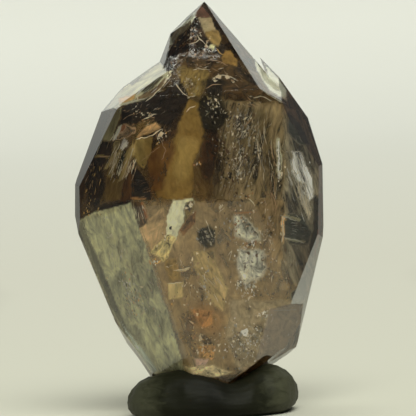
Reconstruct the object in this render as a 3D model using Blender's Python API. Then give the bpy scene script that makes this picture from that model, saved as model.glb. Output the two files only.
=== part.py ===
"""A smoky quartz crystal standing upright in a lump of mounting putty.

The crystal grew as one piece: a six-sided barrel that tapers both ways from its belt, a steep
off-centre point, a stepped shoulder at the upper left and a thin raised sheet at the upper right.
Each flat growth face is given the way a stone cutter gives a facet, by its facing, its tilt and its
distance from the crystal's middle, and the crystal is the block that all those faces leave.

The origin is the middle of the putty's flat underside. +Z is up and -Y faces the viewer.
"""
import math

import bmesh
import bpy
from mathutils import Vector

MM = 0.001

# Driving dimensions, in millimetres
MIDDLE_HEIGHT = 30.0        # the crystal's middle, straight above the origin
BELT_DEPTH = 14.1           # middle to the front faces, at the belt
BELT_LEFT = 17.3            # middle to the left rim
BELT_RIGHT = 16.3           # middle to the right rim
SHEET_THICKNESS = 0.4       # the raised growth sheet on the right of the point
FIT_GAP = 0.3               # between the crystal and the putty
PUTTY_LENGTH = 24.4
PUTTY_DEPTH = 22.4
PUTTY_HEIGHT = 6.1
PUTTY_SHIFT = 0.9           # the lump sits a little towards the viewer
CRYSTAL_FOOT = 3.0          # height of the crystal's hidden underside

# Growth faces: (facing, upward tilt, distance from the middle).
# Facing is in degrees: 0 to the viewer, 90 to the right, -90 to the left, 180 to the back.
BARREL_FACES = [
    (0.0, 6.5, BELT_DEPTH),                     # front, above the belt
    (0.0, -11.5, BELT_DEPTH - 0.2),             # front, below it
    (-58.5, 6.0, BELT_LEFT - 1.8),              # left front, above
    (-54.5, -20.0, BELT_LEFT - 2.2),            # left front, below
    (-79.0, 22.5, BELT_LEFT - 0.4),             # left rim
    (-80.0, 3.0, BELT_LEFT),
    (30.0, 2.0, BELT_RIGHT - 0.6),              # right front
    (65.0, -1.5, BELT_RIGHT - 0.9),             # right side
    (79.0, 17.5, BELT_RIGHT + 0.6),             # right rim, from the top down
    (80.0, -3.0, BELT_RIGHT),
    (78.0, -15.5, BELT_RIGHT + 0.6),
    (180.0, 4.0, BELT_DEPTH - 0.7),             # back
    (180.0, -13.0, BELT_DEPTH - 0.3),
    (-118.0, 22.0, BELT_LEFT),                  # left back, from the top down
    (-121.0, 3.0, BELT_LEFT - 0.3),
    (-96.5, -18.5, BELT_LEFT + 0.6),
    (121.0, 2.0, BELT_RIGHT - 0.2),             # right back, above
    (122.0, -16.0, BELT_RIGHT + 0.5),
]
FOOT_FACES = [
    (-77.5, -31.5, 19.5),                       # left
    (70.5, -57.0, 24.0),                        # right
    (150.0, -48.0, 22.4),                       # back
    (0.0, -90.0, MIDDLE_HEIGHT - CRYSTAL_FOOT),
]
POINT_FRONT = (-1.0, 42.0, 19.4)
POINT_LEFT = (-76.5, 45.0, 18.7)
POINT_RIGHT = (60.0, 43.0, 20.5)
POINT_SIDE = (100.0, 33.5, 16.7)
POINT_FACES = [
    POINT_FRONT,
    POINT_LEFT,
    (POINT_RIGHT[0], POINT_RIGHT[1], POINT_RIGHT[2] + SHEET_THICKNESS),
    (96.0, 40.0, 19.1),                         # over the sheet, right
    (130.0, 42.0, 19.1),                        # right back
    (176.0, 44.0, 18.7),                        # back
    (-136.0, 46.0, 19.5),                       # left back
]

# Shoulder at the upper left: all that stands outside the steep wall goes, but for the stepped block
SHOULDER_WALL = (-83.0, 18.5, 10.4)
SHOULDER_FACES = [
    (-76.0, 57.5, 18.6),                        # by the wall
    (-81.5, 47.0, 18.5),                        # out to the left rim
    (-60.0, 54.0, 19.3),                        # the strips along its front edge
    (-49.0, 49.0, 19.6),
]
# Ledges where the point's left side steps in, each above a gentle face and outside a steep one
WALL_LEDGES = {
    "upper_ledge": [(-70.0, 33.0, 15.0), (-82.0, 64.0, 21.4)],
    "lower_ledge": [(-62.0, 28.0, 13.5), (-76.0, 70.0, 20.6)],
}

# Raised sheet on the right of the point: the point is cut down all round it
SHEET_EDGES = [
    (-18.0, -12.5, 1.1),                        # its front edge
    (-90.0, -17.0, -14.4),                      # its top end
]

# Smaller steps where one growth layer stops short of the next
STEP_CUTS = {
    "foot_right": [(64.0, -20.5, 17.0), (64.0, -76.0, 17.9)],
    "back_plate": [(180.0, 4.0, 12.9), (84.0, 3.0, 6.2)],
}

# Shell-shaped chips: (facing, tilt, radius of the shell, depth of the bite)
CHIPS = {
    "foot_right_rim": (75.0, -62.5, 9.0, 0.35),
    "foot_front_rim": (52.0, -66.0, 7.0, 0.4),
    "foot_back": (140.0, -52.0, 10.0, 0.6),
    "foot_left_back": (-118.0, -56.0, 8.0, 0.45),
    "back_bruise": (158.0, 6.0, 9.0, 0.3),
}

# Putty: (share of the half width, share of the height) round its section, from below to the top
PUTTY_PROFILE = [
    (0.42, 0.0), (0.72, 0.0), (0.87, 0.0), (0.95, 0.09), (0.99, 0.22), (1.0, 0.38), (0.985, 0.55),
    (0.94, 0.71), (0.87, 0.85), (0.78, 0.94), (0.68, 0.99), (0.57, 1.0), (0.42, 0.98), (0.22, 0.96),
]
PUTTY_SIDES = 56
PUTTY_SQUARENESS = 2.5      # 2 is an ellipse seen from above, and more is squarer
DENT_SPREAD = 0.25          # share of the height over which a finger dent fades
# Humps and dips of the putty's rim: (compass angle from +X, half spread, height in millimetres)
PUTTY_RIM = [
    (-118.0, 30.0, 0.7), (-72.0, 18.0, -1.45), (-28.0, 26.0, 0.85), (20.0, 22.0, -0.7),
    (75.0, 26.0, -0.2), (125.0, 20.0, -1.0), (178.0, 24.0, -0.8),
]
# Finger dents in its side: (compass angle, half spread, share of the height, depth in millimetres)
PUTTY_DENTS = [
    (-150.0, 13.0, 0.62, 0.55), (-98.0, 11.0, 0.35, 0.4), (-52.0, 10.0, 0.55, 0.6),
    (-12.0, 12.0, 0.3, 0.35), (38.0, 13.0, 0.6, 0.9), (88.0, 12.0, 0.45, 0.5),
    (140.0, 14.0, 0.6, 0.95), (170.0, 9.0, 0.3, 0.3),
]

MIDDLE = Vector((0.0, 0.0, MIDDLE_HEIGHT * MM))
BLOCK = 120.0 * MM
SPLIT = 1e-7
MERGE = 0.02 * MM


def outward(facing, tilt):
    """Unit vector of a face that looks towards the compass facing and upwards by the tilt."""
    turn = math.radians(facing)
    rise = math.radians(tilt)
    return Vector((math.sin(turn) * math.cos(rise), -math.cos(turn) * math.cos(rise), math.sin(rise)))


def trimmed_block(faces, side=1.0, grow=0.0):
    """A block cut down to a list of faces, or with side -1 the part of it that lies beyond them all."""
    bm = bmesh.new()
    bmesh.ops.create_cube(bm, size=BLOCK)
    bmesh.ops.translate(bm, verts=bm.verts[:], vec=MIDDLE)
    for facing, tilt, distance in faces:
        normal = outward(facing, tilt)
        cut = bmesh.ops.bisect_plane(
            bm, geom=bm.verts[:] + bm.edges[:] + bm.faces[:], dist=SPLIT, clear_outer=True,
            plane_co=MIDDLE + normal * (distance + grow) * MM, plane_no=normal * side)
        rim = [item for item in cut["geom_cut"] if isinstance(item, bmesh.types.BMEdge)]
        if rim:
            bmesh.ops.contextual_create(bm, geom=rim)
    bmesh.ops.remove_doubles(bm, verts=bm.verts[:], dist=MERGE)
    bmesh.ops.recalc_face_normals(bm, faces=bm.faces[:])
    return bm


def add_object(name, bm, material=None):
    """Turns a bmesh into a named object in the scene."""
    mesh = bpy.data.meshes.new(name)
    bm.to_mesh(mesh)
    bm.free()
    piece = bpy.data.objects.new(name, mesh)
    bpy.context.scene.collection.objects.link(piece)
    if material:
        mesh.materials.append(material)
    return piece


def combine(piece, name, operation, bm):
    """Joins a hidden second shape to a piece, or takes it away."""
    tool = add_object(name, bm)
    tool.hide_render = True
    tool.display_type = "WIRE"
    step = piece.modifiers.new(name, "BOOLEAN")
    step.operation = operation
    step.solver = "EXACT"
    step.object = tool
    return tool


def cut_around(piece, name, beyond, keep):
    """Cuts away all that lies beyond any of some faces, outside the block that other faces bound."""
    cutter = combine(piece, name, "DIFFERENCE", trimmed_block(beyond[:1], side=-1.0))
    for index, face in enumerate(beyond[1:]):
        combine(cutter, f"{name}_more_{index}", "UNION", trimmed_block([face], side=-1.0))
    combine(cutter, name + "_kept", "DIFFERENCE", trimmed_block(keep))


def finish(name, colour, roughness, transmission=0.0):
    """A plain surface finish."""
    material = bpy.data.materials.new(name)
    material.use_nodes = True
    shader = material.node_tree.nodes["Principled BSDF"]
    shader.inputs["Base Color"].default_value = (*colour, 1.0)
    shader.inputs["Roughness"].default_value = roughness
    shader.inputs["Metallic"].default_value = 0.0
    shader.inputs["Transmission Weight"].default_value = transmission
    return material


def chip_ball(facing, tilt, radius, bite):
    """A ball that sinks by the bite into the growth faces, in one direction from the middle."""
    ray = outward(facing, tilt)
    reach = min(distance / ray.dot(outward(*face)) for *face, distance in BARREL_FACES + FOOT_FACES
                if ray.dot(outward(*face)) > 0.0)
    bm = bmesh.new()
    bmesh.ops.create_icosphere(bm, subdivisions=4, radius=radius * MM)
    bmesh.ops.translate(bm, verts=bm.verts[:], vec=MIDDLE + ray * (reach + radius - bite) * MM)
    return bm


def make_crystal():
    """The crystal: its growth faces, then the shoulder, the sheet, the steps and the chips."""
    material = finish("smoky_quartz", (0.36, 0.25, 0.14), 0.03, transmission=1.0)
    crystal = add_object("crystal", trimmed_block(BARREL_FACES + FOOT_FACES + POINT_FACES), material)
    cut_around(crystal, "shoulder", [SHOULDER_WALL], SHOULDER_FACES)
    cut_around(crystal, "sheet", [POINT_RIGHT, POINT_SIDE], SHEET_EDGES)
    for name, faces in (WALL_LEDGES | STEP_CUTS).items():
        combine(crystal, name, "DIFFERENCE", trimmed_block(faces, side=-1.0))
    for name, chip in CHIPS.items():
        combine(crystal, "chip_" + name, "DIFFERENCE", chip_ball(*chip))
    return crystal


def bump(angle, centre, spread):
    """1 at a compass angle, falling smoothly to 0 away from it."""
    apart = (angle - centre + 180.0) % 360.0 - 180.0
    return math.exp(-(apart / spread) ** 2)


def putty_point(angle, share_out, share_up):
    """A point of the putty's surface, in millimetres, before its foot is flattened."""
    turn = math.radians(angle)
    rim = PUTTY_HEIGHT + sum(rise * bump(angle, at, spread) for at, spread, rise in PUTTY_RIM)
    side = share_out
    for at, spread, level, depth in PUTTY_DENTS:
        fade = math.exp(-((share_up - level) / DENT_SPREAD) ** 2)
        side -= depth / PUTTY_LENGTH * 2.0 * bump(angle, at, spread) * fade
    power = PUTTY_SQUARENESS
    reach = (abs(math.cos(turn)) ** power + abs(math.sin(turn)) ** power) ** (-1.0 / power)
    across = side * reach * PUTTY_LENGTH / 2.0 * math.cos(turn)
    along = side * reach * PUTTY_DEPTH / 2.0 * math.sin(turn)
    return across, along, share_up * rim


def make_putty(crystal_socket):
    """The putty: a lump lofted in rings, with a flat underside and a socket for the crystal's foot."""
    bm = bmesh.new()
    rings = []
    for share_out, share_up in PUTTY_PROFILE:
        ring = []
        for index in range(PUTTY_SIDES):
            across, along, up = putty_point(360.0 * index / PUTTY_SIDES, share_out, share_up)
            ring.append(bm.verts.new(Vector((across, along - PUTTY_SHIFT, up)) * MM))
        rings.append(ring)
    for lower, upper in zip(rings, rings[1:]):
        for index in range(PUTTY_SIDES):
            after = (index + 1) % PUTTY_SIDES
            bm.faces.new((lower[index], lower[after], upper[after], upper[index]))
    bm.faces.new(reversed(rings[0]))
    bm.faces.new(rings[-1])
    bmesh.ops.recalc_face_normals(bm, faces=bm.faces[:])
    putty = add_object("putty_stand", bm, finish("putty", (0.05, 0.055, 0.04), 0.75))
    combine(putty, "socket", "DIFFERENCE", crystal_socket)
    for face in putty.data.polygons:
        face.use_smooth = True
    return putty


for thing in list(bpy.data.objects):
    bpy.data.objects.remove(thing, do_unlink=True)

make_crystal()
make_putty(trimmed_block(BARREL_FACES + FOOT_FACES, grow=FIT_GAP))
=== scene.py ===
"""Looks for a smoky quartz crystal that stands in a lump of mounting putty."""

import math

import bmesh
import bpy
import numpy as np
from mathutils import Matrix, Vector, noise
from mathutils.bvhtree import BVHTree


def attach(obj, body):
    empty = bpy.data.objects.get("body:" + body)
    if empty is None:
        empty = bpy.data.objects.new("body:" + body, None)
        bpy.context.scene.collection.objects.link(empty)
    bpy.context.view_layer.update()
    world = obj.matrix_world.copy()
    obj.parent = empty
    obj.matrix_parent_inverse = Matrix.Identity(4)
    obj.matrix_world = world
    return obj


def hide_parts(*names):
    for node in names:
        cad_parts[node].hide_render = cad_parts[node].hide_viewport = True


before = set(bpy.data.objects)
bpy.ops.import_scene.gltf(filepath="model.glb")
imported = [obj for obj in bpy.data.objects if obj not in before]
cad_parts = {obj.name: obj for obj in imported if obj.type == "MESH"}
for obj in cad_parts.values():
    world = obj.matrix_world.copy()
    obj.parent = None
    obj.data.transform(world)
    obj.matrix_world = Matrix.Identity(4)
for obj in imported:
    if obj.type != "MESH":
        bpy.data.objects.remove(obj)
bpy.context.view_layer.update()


# The crystal: one piece of smoky quartz, clear and brown, paler towards its foot. It grew as it is,
# with flat faces that are each stained a little differently. Its edges are a little worn, and
# chipped near the point.
MM = 0.001
QUARTZ_IOR = 1.544
EDGE_WEAR = 0.05 * MM
WORN_ANGLE = math.radians(12.0)
MERGE_GAP = 0.004 * MM
FLAT_ANGLE = math.radians(0.6)
CELL = 0.9 * MM
# The box round the point whose faces are cut finer, for the chips: its lowest and highest corners
POINT_BOX = ((-0.008, -0.013, 0.0455), (0.004, 0.0, 0.0570))
POINT_CELL = 0.3 * MM
CUTTING_PASSES = 7
SMOKE_COLOUR = (0.62, 0.40, 0.17, 1.0)
SMOKE_DENSITY = 42.0
# Stain of each growth face: (facing, upward tilt, red, green, blue)
FACE_STAINS = [
    (0.0, 6.5, 0.94, 0.90, 0.82),
    (0.0, -11.5, 0.97, 0.95, 0.91),
    (-58.5, 6.0, 0.94, 0.90, 0.82),
    (-54.5, -20.0, 0.97, 0.95, 0.91),
    (-79.0, 22.5, 0.22, 0.15, 0.08),
    (-80.0, 3.0, 0.26, 0.18, 0.10),
    (30.0, 2.0, 0.94, 0.91, 0.85),
    (65.0, -1.5, 0.94, 0.92, 0.88),
    (79.0, 17.5, 0.40, 0.22, 0.14),
    (80.0, -3.0, 0.40, 0.16, 0.10),
    (78.0, -15.5, 0.60, 0.46, 0.34),
    (180.0, 4.0, 0.46, 0.36, 0.22),
    (180.0, -13.0, 0.92, 0.88, 0.80),
    (-118.0, 22.0, 0.40, 0.30, 0.18),
    (-121.0, 3.0, 0.45, 0.35, 0.22),
    (-96.5, -18.5, 0.85, 0.80, 0.70),
    (121.0, 2.0, 0.52, 0.43, 0.30),
    (122.0, -16.0, 0.88, 0.82, 0.72),
    (-1.0, 42.0, 0.94, 0.90, 0.82),
    (60.0, 43.0, 0.85, 0.83, 0.78),
    (176.0, 44.0, 0.42, 0.32, 0.18),
    (-76.5, 45.0, 0.95, 0.94, 0.90),
]
# Colour zones that run through the whole thickness: (across and height of both ends of a band, half
# its width, how softly it fades, then what it multiplies the stain by)
COLOUR_ZONES = [
    (2.0, 39.0, 2.6, 32.0, 1.1, 1.5, 0.62, 0.60, 0.60),
    (-6.8, 38.0, -6.0, 32.0, 0.6, 1.0, 0.65, 0.60, 0.55),
    (0.2, 25.6, 0.6, 24.6, 0.7, 1.0, 0.50, 0.48, 0.45),
    (14.6, 24.0, 13.4, 16.0, 0.6, 1.2, 0.60, 0.52, 0.46),
    (-0.8, 14.2, 0.2, 13.6, 1.2, 1.4, 1.00, 0.80, 0.60),
    (8.6, 48.7, 11.6, 45.0, 0.9, 0.5, 4.00, 6.00, 9.00),
]


def deselect_all():
    """Leaves nothing selected, so that an operator acts on its own piece alone."""
    for thing in bpy.context.selected_objects:
        thing.select_set(False)


def make_active(piece):
    """Selects one piece alone."""
    deselect_all()
    piece.select_set(True)
    bpy.context.view_layer.objects.active = piece


def apply_modifiers(piece):
    """Bakes a piece's modifiers into its mesh."""
    make_active(piece)
    for step in list(piece.modifiers):
        bpy.ops.object.modifier_apply(modifier=step.name)


def copy_of_node(node, name):
    """A merged copy of a CAD node's mesh, to be dressed in its place."""
    piece = bpy.data.objects.new(name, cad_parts[node].data.copy())
    bpy.context.scene.collection.objects.link(piece)
    make_active(piece)
    bpy.ops.object.mode_set(mode="EDIT")
    bpy.ops.mesh.select_all(action="SELECT")
    bpy.ops.mesh.remove_doubles(threshold=MERGE_GAP)
    bpy.ops.mesh.dissolve_limited(angle_limit=FLAT_ANGLE)
    bpy.ops.object.mode_set(mode="OBJECT")
    piece.data.materials.clear()
    return piece


def direction(facing, tilt):
    """Unit vector towards a compass facing (0 to the viewer, 90 to the right) and an upward tilt."""
    turn, rise = math.radians(facing), math.radians(tilt)
    return Vector((math.sin(turn) * math.cos(rise), -math.cos(turn) * math.cos(rise), math.sin(rise)))


crystal = copy_of_node("crystal", "smoky_crystal")
wear = crystal.modifiers.new("worn_edges", "BEVEL")
wear.width = EDGE_WEAR
wear.segments = 2
wear.limit_method = "ANGLE"
wear.angle_limit = WORN_ANGLE
wear.use_clamp_overlap = True
apply_modifiers(crystal)


def cut_into_cells(piece, cell, fine_box=None, fine=0.0):
    """Cuts a piece's faces into small triangles, finer inside a box, which leaves its shape alone."""
    bm = bmesh.new()
    bm.from_mesh(piece.data)
    bmesh.ops.triangulate(bm, faces=bm.faces[:])
    for _ in range(CUTTING_PASSES):
        longest = []
        for edge in bm.edges:
            length = edge.calc_length()
            if length > fine and fine_box and all(a <= c <= b for a, c, b in zip(
                    fine_box[0], (edge.verts[0].co + edge.verts[1].co) / 2, fine_box[1])):
                longest.append(edge)
            elif length > cell:
                longest.append(edge)
        if longest:
            bmesh.ops.subdivide_edges(bm, edges=longest, cuts=1)
        bmesh.ops.triangulate(bm, faces=[face for face in bm.faces if len(face.verts) > 3])
    bm.to_mesh(piece.data)
    bm.free()


def within_band(spots, x0, z0, x1, z1, wide, fade):
    """How far (across, height) spots lie within a band: 1 in it, and down to 0 where it has faded."""
    first, along = np.array((x0, z0)), np.array((x1 - x0, z1 - z0))
    offset = spots - first
    share = np.clip(offset @ along / (along @ along), 0.0, 1.0)[..., None]
    away = np.linalg.norm(offset - share * along, axis=-1)
    return np.clip((wide + fade - away) / fade, 0.0, 1.0)


def eased(share):
    """A share from 0 to 1 that starts and ends gently."""
    return share * share * (3.0 - 2.0 * share)


cut_into_cells(crystal, CELL, POINT_BOX, POINT_CELL)
stain = crystal.data.color_attributes.new("stain", "FLOAT_COLOR", "CORNER")
kinds = [(direction(facing, tilt), colour) for facing, tilt, *colour in FACE_STAINS]
values = np.ones((len(crystal.data.loops), 4), np.float32)
for face in crystal.data.polygons:
    nearest = max(kinds, key=lambda kind: kind[0].dot(face.normal))
    values[face.loop_start:face.loop_start + face.loop_total, :3] = nearest[1]
at_corners = [loop.vertex_index for loop in crystal.data.loops]
spots = np.array([v.co for v in crystal.data.vertices])[at_corners] / MM
for *band, red, green, blue in COLOUR_ZONES:
    inside = eased(within_band(spots[:, [0, 2]], *band))[:, None]
    values[:, :3] *= 1.0 + (np.array((red, green, blue)) - 1.0) * inside
stain.data.foreach_set("color", np.minimum(values, 1.0).ravel())

# Conchoidal chips near the point: (across and height of both ends of a band, half its width, how
# softly it fades, size of the chips, their depth), always into the crystal
CHIPPED = [
    (-0.6, 54.8, -3.6, 49.6, 0.7, 0.9, 0.9, 0.28),
    (-3.2, 50.0, -3.4, 47.4, 0.4, 0.8, 0.8, 0.22),
    (-1.8, 51.6, 2.6, 50.6, 0.3, 0.8, 1.0, 0.20),
]
CHIPS_BEFORE = -0.001
CHIPS_ABOVE = 0.044
sinks = {}
for vertex in crystal.data.vertices:
    if vertex.co.y > CHIPS_BEFORE or vertex.co.z < CHIPS_ABOVE:
        continue
    spot = np.array((vertex.co.x, vertex.co.z)) / MM
    for *band, size, depth in CHIPPED:
        inside = within_band(spot, *band)
        if inside > 0.0:
            pattern = vertex.co / (size * MM)
            chip = noise.cell(pattern) * 0.5 + 0.5 * noise.turbulence(pattern, 3, True)
            sink = inside * depth * min(max(chip, 0.0), 1.0) * MM
            sinks[vertex.index] = max(sinks.get(vertex.index, 0.0), sink)
normals = {index: crystal.data.vertices[index].normal.copy() for index in sinks}
for index, sink in sinks.items():
    crystal.data.vertices[index].co -= normals[index] * sink
surface = BVHTree.FromPolygons([v.co for v in crystal.data.vertices],
                               [tuple(f.vertices) for f in crystal.data.polygons])


class Finish:
    """A material and short ways to add to its nodes."""

    def __init__(self, name):
        self.material = bpy.data.materials.new(name)
        self.material.use_nodes = True
        self.nodes = self.material.node_tree.nodes
        self.links = self.material.node_tree.links
        self.shader = self.nodes["Principled BSDF"]
        self.place = self.nodes.new("ShaderNodeTexCoord").outputs["Object"]

    def plain(self, **values):
        """Sets plain values on the shader, by socket name with _ for a space."""
        for name, value in values.items():
            self.shader.inputs[name.replace("_", " ")].default_value = value

    def feed(self, source, socket):
        """Links a pattern to a socket of the shader."""
        self.links.new(source, self.shader.inputs[socket])

    def stretched(self, scale, turn=(0.0, 0.0, 0.0)):
        """Object coordinates in millimetres, stretched or turned."""
        mapping = self.nodes.new("ShaderNodeMapping")
        mapping.inputs["Scale"].default_value = [s / MM for s in scale]
        mapping.inputs["Rotation"].default_value = [math.radians(t) for t in turn]
        self.links.new(self.place, mapping.inputs["Vector"])
        return mapping.outputs["Vector"]

    def noise(self, place, scale, detail=3.0, roughness=0.55, distortion=0.0):
        """A cloudy pattern."""
        node = self.nodes.new("ShaderNodeTexNoise")
        node.inputs["Scale"].default_value = scale
        node.inputs["Detail"].default_value = detail
        node.inputs["Roughness"].default_value = roughness
        node.inputs["Distortion"].default_value = distortion
        self.links.new(place, node.inputs["Vector"])
        return node.outputs["Fac"]

    def ramp(self, source, *stops):
        """A colour ramp of (place, colour or grey) stops."""
        node = self.nodes.new("ShaderNodeValToRGB")
        marks = node.color_ramp.elements
        while len(marks) < len(stops):
            marks.new(0.5)
        for mark, (at, colour) in zip(marks, stops):
            mark.position = at
            mark.color = (*([colour] * 3 if isinstance(colour, float) else colour), 1.0)
        self.links.new(source, node.inputs["Fac"])
        return node.outputs["Color"]

    def mix(self, kind, first, second, share=1.0):
        """Mixes two colours; the share is a number or a pattern."""
        node = self.nodes.new("ShaderNodeMix")
        node.data_type = "RGBA"
        node.blend_type = kind
        for socket, value in ((node.inputs[6], first), (node.inputs[7], second), (node.inputs[0], share)):
            if isinstance(value, bpy.types.NodeSocket):
                self.links.new(value, socket)
            else:
                socket.default_value = value
        return node.outputs[2]

    def maths(self, kind, first, second):
        """Arithmetic on two numbers or patterns."""
        node = self.nodes.new("ShaderNodeMath")
        node.operation = kind
        for socket, value in zip(node.inputs, (first, second)):
            if isinstance(value, bpy.types.NodeSocket):
                self.links.new(value, socket)
            else:
                socket.default_value = value
        return node.outputs["Value"]

    def attribute(self, name):
        """A colour that the mesh carries."""
        node = self.nodes.new("ShaderNodeAttribute")
        node.attribute_name = name
        return node.outputs["Color"]

    def bump(self, height, strength, depth):
        """Fine relief from a pattern."""
        node = self.nodes.new("ShaderNodeBump")
        node.inputs["Strength"].default_value = strength
        node.inputs["Distance"].default_value = depth
        self.links.new(height, node.inputs["Height"])
        self.links.new(node.outputs["Normal"], self.shader.inputs["Normal"])


quartz = Finish("smoky_quartz")
quartz.plain(IOR=QUARTZ_IOR, Transmission_Weight=1.0, Roughness=0.0)
streaks = quartz.noise(quartz.stretched((0.5, 0.5, 0.12), (0.0, 12.0, 0.0)), 1.0, 4.0, 0.6, 0.4)
quartz.feed(quartz.mix("MULTIPLY", quartz.attribute("stain"),
                       quartz.ramp(streaks, (0.30, (0.86, 0.82, 0.74)), (0.55, 1.0))), "Base Color")
ripples = quartz.noise(quartz.stretched((0.20, 0.20, 0.45)), 1.0, 3.0, 0.5)
quartz.bump(ripples, 0.12, 0.04 * MM)
smoke = quartz.nodes.new("ShaderNodeVolumeAbsorption")
smoke.inputs["Color"].default_value = SMOKE_COLOUR
smoke.inputs["Density"].default_value = SMOKE_DENSITY
quartz.links.new(smoke.outputs["Volume"], quartz.nodes["Material Output"].inputs["Volume"])
crystal.data.materials.append(quartz.material)
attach(crystal, "root")
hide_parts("crystal")


# The feather veils: healed cracks inside the crystal, each a thin crumpled sheet of tiny bubbles that
# shows as pale wisps. They lie under the right-hand faces, from the front round to the back right.
SIGHT_LINE = 0.08
THINNEST = 1.2 * MM
LEAST_COVER = 0.35 * MM
CRUMPLE_PITCH = 0.22
# Facing, corners, depths below the surface at the corners, and how crumpled
FEATHERS = [
    (0, [(4.0, 14.0), (13.0, 14.0), (14.0, 36.0), (6.0, 38.0)], (4.5, 3.0, 3.0, 5.0), 2.0),
    (35, [(-8.0, 16.0), (8.0, 16.0), (8.0, 44.0), (-6.0, 44.0)], (1.5, 1.5, 1.0, 2.0), 1.2),
    (70, [(-8.0, 14.0), (8.0, 14.0), (7.0, 42.0), (-7.0, 42.0)], (1.2, 1.2, 1.2, 1.2), 1.2),
    (130, [(-7.0, 14.0), (8.0, 14.0), (8.0, 40.0), (-7.0, 42.0)], (3.0, 2.0, 2.0, 3.0), 1.8),
]


def skin(facing, across, height):
    """The point of the crystal's surface that is seen from a facing, and how thick it is behind that."""
    outward = direction(facing, 0.0)
    right = Vector((-outward.y, outward.x, 0.0))
    start = right * across * MM + Vector((0.0, 0.0, height * MM)) + outward * SIGHT_LINE
    hit, _, _, _ = surface.ray_cast(start, -outward)
    if hit is None:
        return None, 0.0
    far, _, _, _ = surface.ray_cast(start - outward * (2 * SIGHT_LINE), outward)
    return hit, (hit - far).length


def lay_sheet(name, facing, corners, depths, crumple, seed, cells=(40, 56), rim_fade=True):
    """A crumpled sheet inside the crystal. Corners are (across, height) as seen from the facing, from
    the lower left round to the upper left, and depths are the depths below the surface there."""
    deselect_all()
    bpy.ops.mesh.primitive_grid_add(x_subdivisions=cells[0], y_subdivisions=cells[1], size=2.0)
    sheet = bpy.context.active_object
    sheet.name = name
    cover = sheet.data.attributes.new("cover", "FLOAT", "POINT")
    shares = []
    inward = -direction(facing, 0.0)
    shift = Vector((seed * 3.7, seed * 1.3, -seed * 2.1))
    outside = []
    for vertex in sheet.data.vertices:
        u, v = (vertex.co.x + 1.0) / 2.0, (vertex.co.y + 1.0) / 2.0
        weights = ((1 - u) * (1 - v), u * (1 - v), u * v, (1 - u) * v)
        across = sum(w * c[0] for w, c in zip(weights, corners))
        height = sum(w * c[1] for w, c in zip(weights, corners))
        spot = Vector((across, height, 0.0)) * CRUMPLE_PITCH + shift
        wave = noise.fractal(spot, 1.0, 2.0, 4) * crumple
        depth = sum(w * d for w, d in zip(weights, depths)) + wave
        hit, thick = skin(facing, across, height)
        if hit is None or thick < THINNEST:
            outside.append(vertex.index)
            shares.append(0.0)
            continue
        depth = min(max(depth * MM, LEAST_COVER), thick - LEAST_COVER)
        vertex.co = hit + inward * depth
        shares.append((1.0 - abs(2 * u - 1) ** 3) * (1.0 - abs(2 * v - 1) ** 3) if rim_fade else 1.0)
    cover.data.foreach_set("value", shares)
    bm = bmesh.new()
    bm.from_mesh(sheet.data)
    bm.verts.ensure_lookup_table()
    bmesh.ops.delete(bm, geom=[bm.verts[index] for index in outside], context="VERTS")
    bm.to_mesh(sheet.data)
    bm.free()
    make_active(sheet)
    bpy.ops.object.shade_smooth()
    return sheet


def wisp_finish(name, pale, dark, scale, turn, low, high, most):
    """Cloudy wisps: solid where the pattern is high, clear where it is low."""
    wisp = Finish(name)
    wisp.plain(Roughness=0.6, Specular_IOR_Level=0.2)
    long_way = wisp.noise(wisp.stretched(scale, turn), 1.0, 7.0, 0.68, 0.9)
    fine = wisp.noise(wisp.stretched((1.6, 1.6, 1.2), turn), 1.0, 5.0, 0.7, 0.5)
    share = wisp.maths("ADD", wisp.maths("MULTIPLY", long_way, 0.62), wisp.maths("MULTIPLY", fine, 0.38))
    node = wisp.nodes.new("ShaderNodeMapRange")
    node.inputs["From Min"].default_value = low
    node.inputs["From Max"].default_value = high
    node.inputs["To Max"].default_value = most
    wisp.links.new(share, node.inputs["Value"])
    cover = wisp.nodes.new("ShaderNodeAttribute")
    cover.attribute_name = "cover"
    wisp.feed(wisp.maths("MULTIPLY", node.outputs["Result"], cover.outputs["Fac"]), "Alpha")
    wisp.feed(wisp.ramp(fine, (0.35, dark), (0.62, pale)), "Base Color")
    return wisp.material


feather = wisp_finish("feather_veil", (0.80, 0.74, 0.64), (0.20, 0.15, 0.10),
                      (0.42, 0.42, 0.16), (0.0, 18.0, 0.0), 0.44, 0.66, 0.85)
for index, (facing, corners, depths, crumple) in enumerate(FEATHERS):
    sheet = lay_sheet(f"feather_veil_{index + 1}", facing, corners, depths, crumple, index + 1)
    sheet.data.materials.append(feather)
    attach(sheet, "root")


# The milky haze: thin clouds of fluid bubbles that fill the lower half of the crystal. They grew
# with it, and their edges are softer than those of the veils.
haze = wisp_finish("milky_haze", (0.86, 0.76, 0.60), (0.42, 0.30, 0.17),
                   (0.24, 0.24, 0.16), (0.0, -14.0, 0.0), 0.38, 0.66, 0.60)
# Facing, corners, depths below the surface at the corners, and how crumpled
HAZES = [
    (0, [(-8.0, 5.0), (9.0, 5.0), (13.0, 27.0), (-10.0, 27.0)], (8.0, 9.0, 10.0, 9.0), 3.0),
    (-60, [(-10.0, 6.0), (8.0, 5.0), (11.0, 27.0), (-10.0, 27.0)], (1.5, 2.0, 2.0, 1.5), 1.5),
    (180, [(-12.0, 8.0), (11.0, 8.0), (13.0, 28.0), (-13.0, 28.0)], (2.0, 2.0, 2.5, 2.5), 1.8),
    (90, [(-9.0, 8.0), (9.0, 8.0), (10.0, 26.0), (-10.0, 26.0)], (2.5, 2.5, 2.5, 2.5), 1.8),
]
for index, (facing, corners, depths, crumple) in enumerate(HAZES):
    sheet = lay_sheet(f"milky_haze_{index + 1}", facing, corners, depths, crumple, index + 21)
    sheet.data.materials.append(haze)
    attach(sheet, "root")


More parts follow.
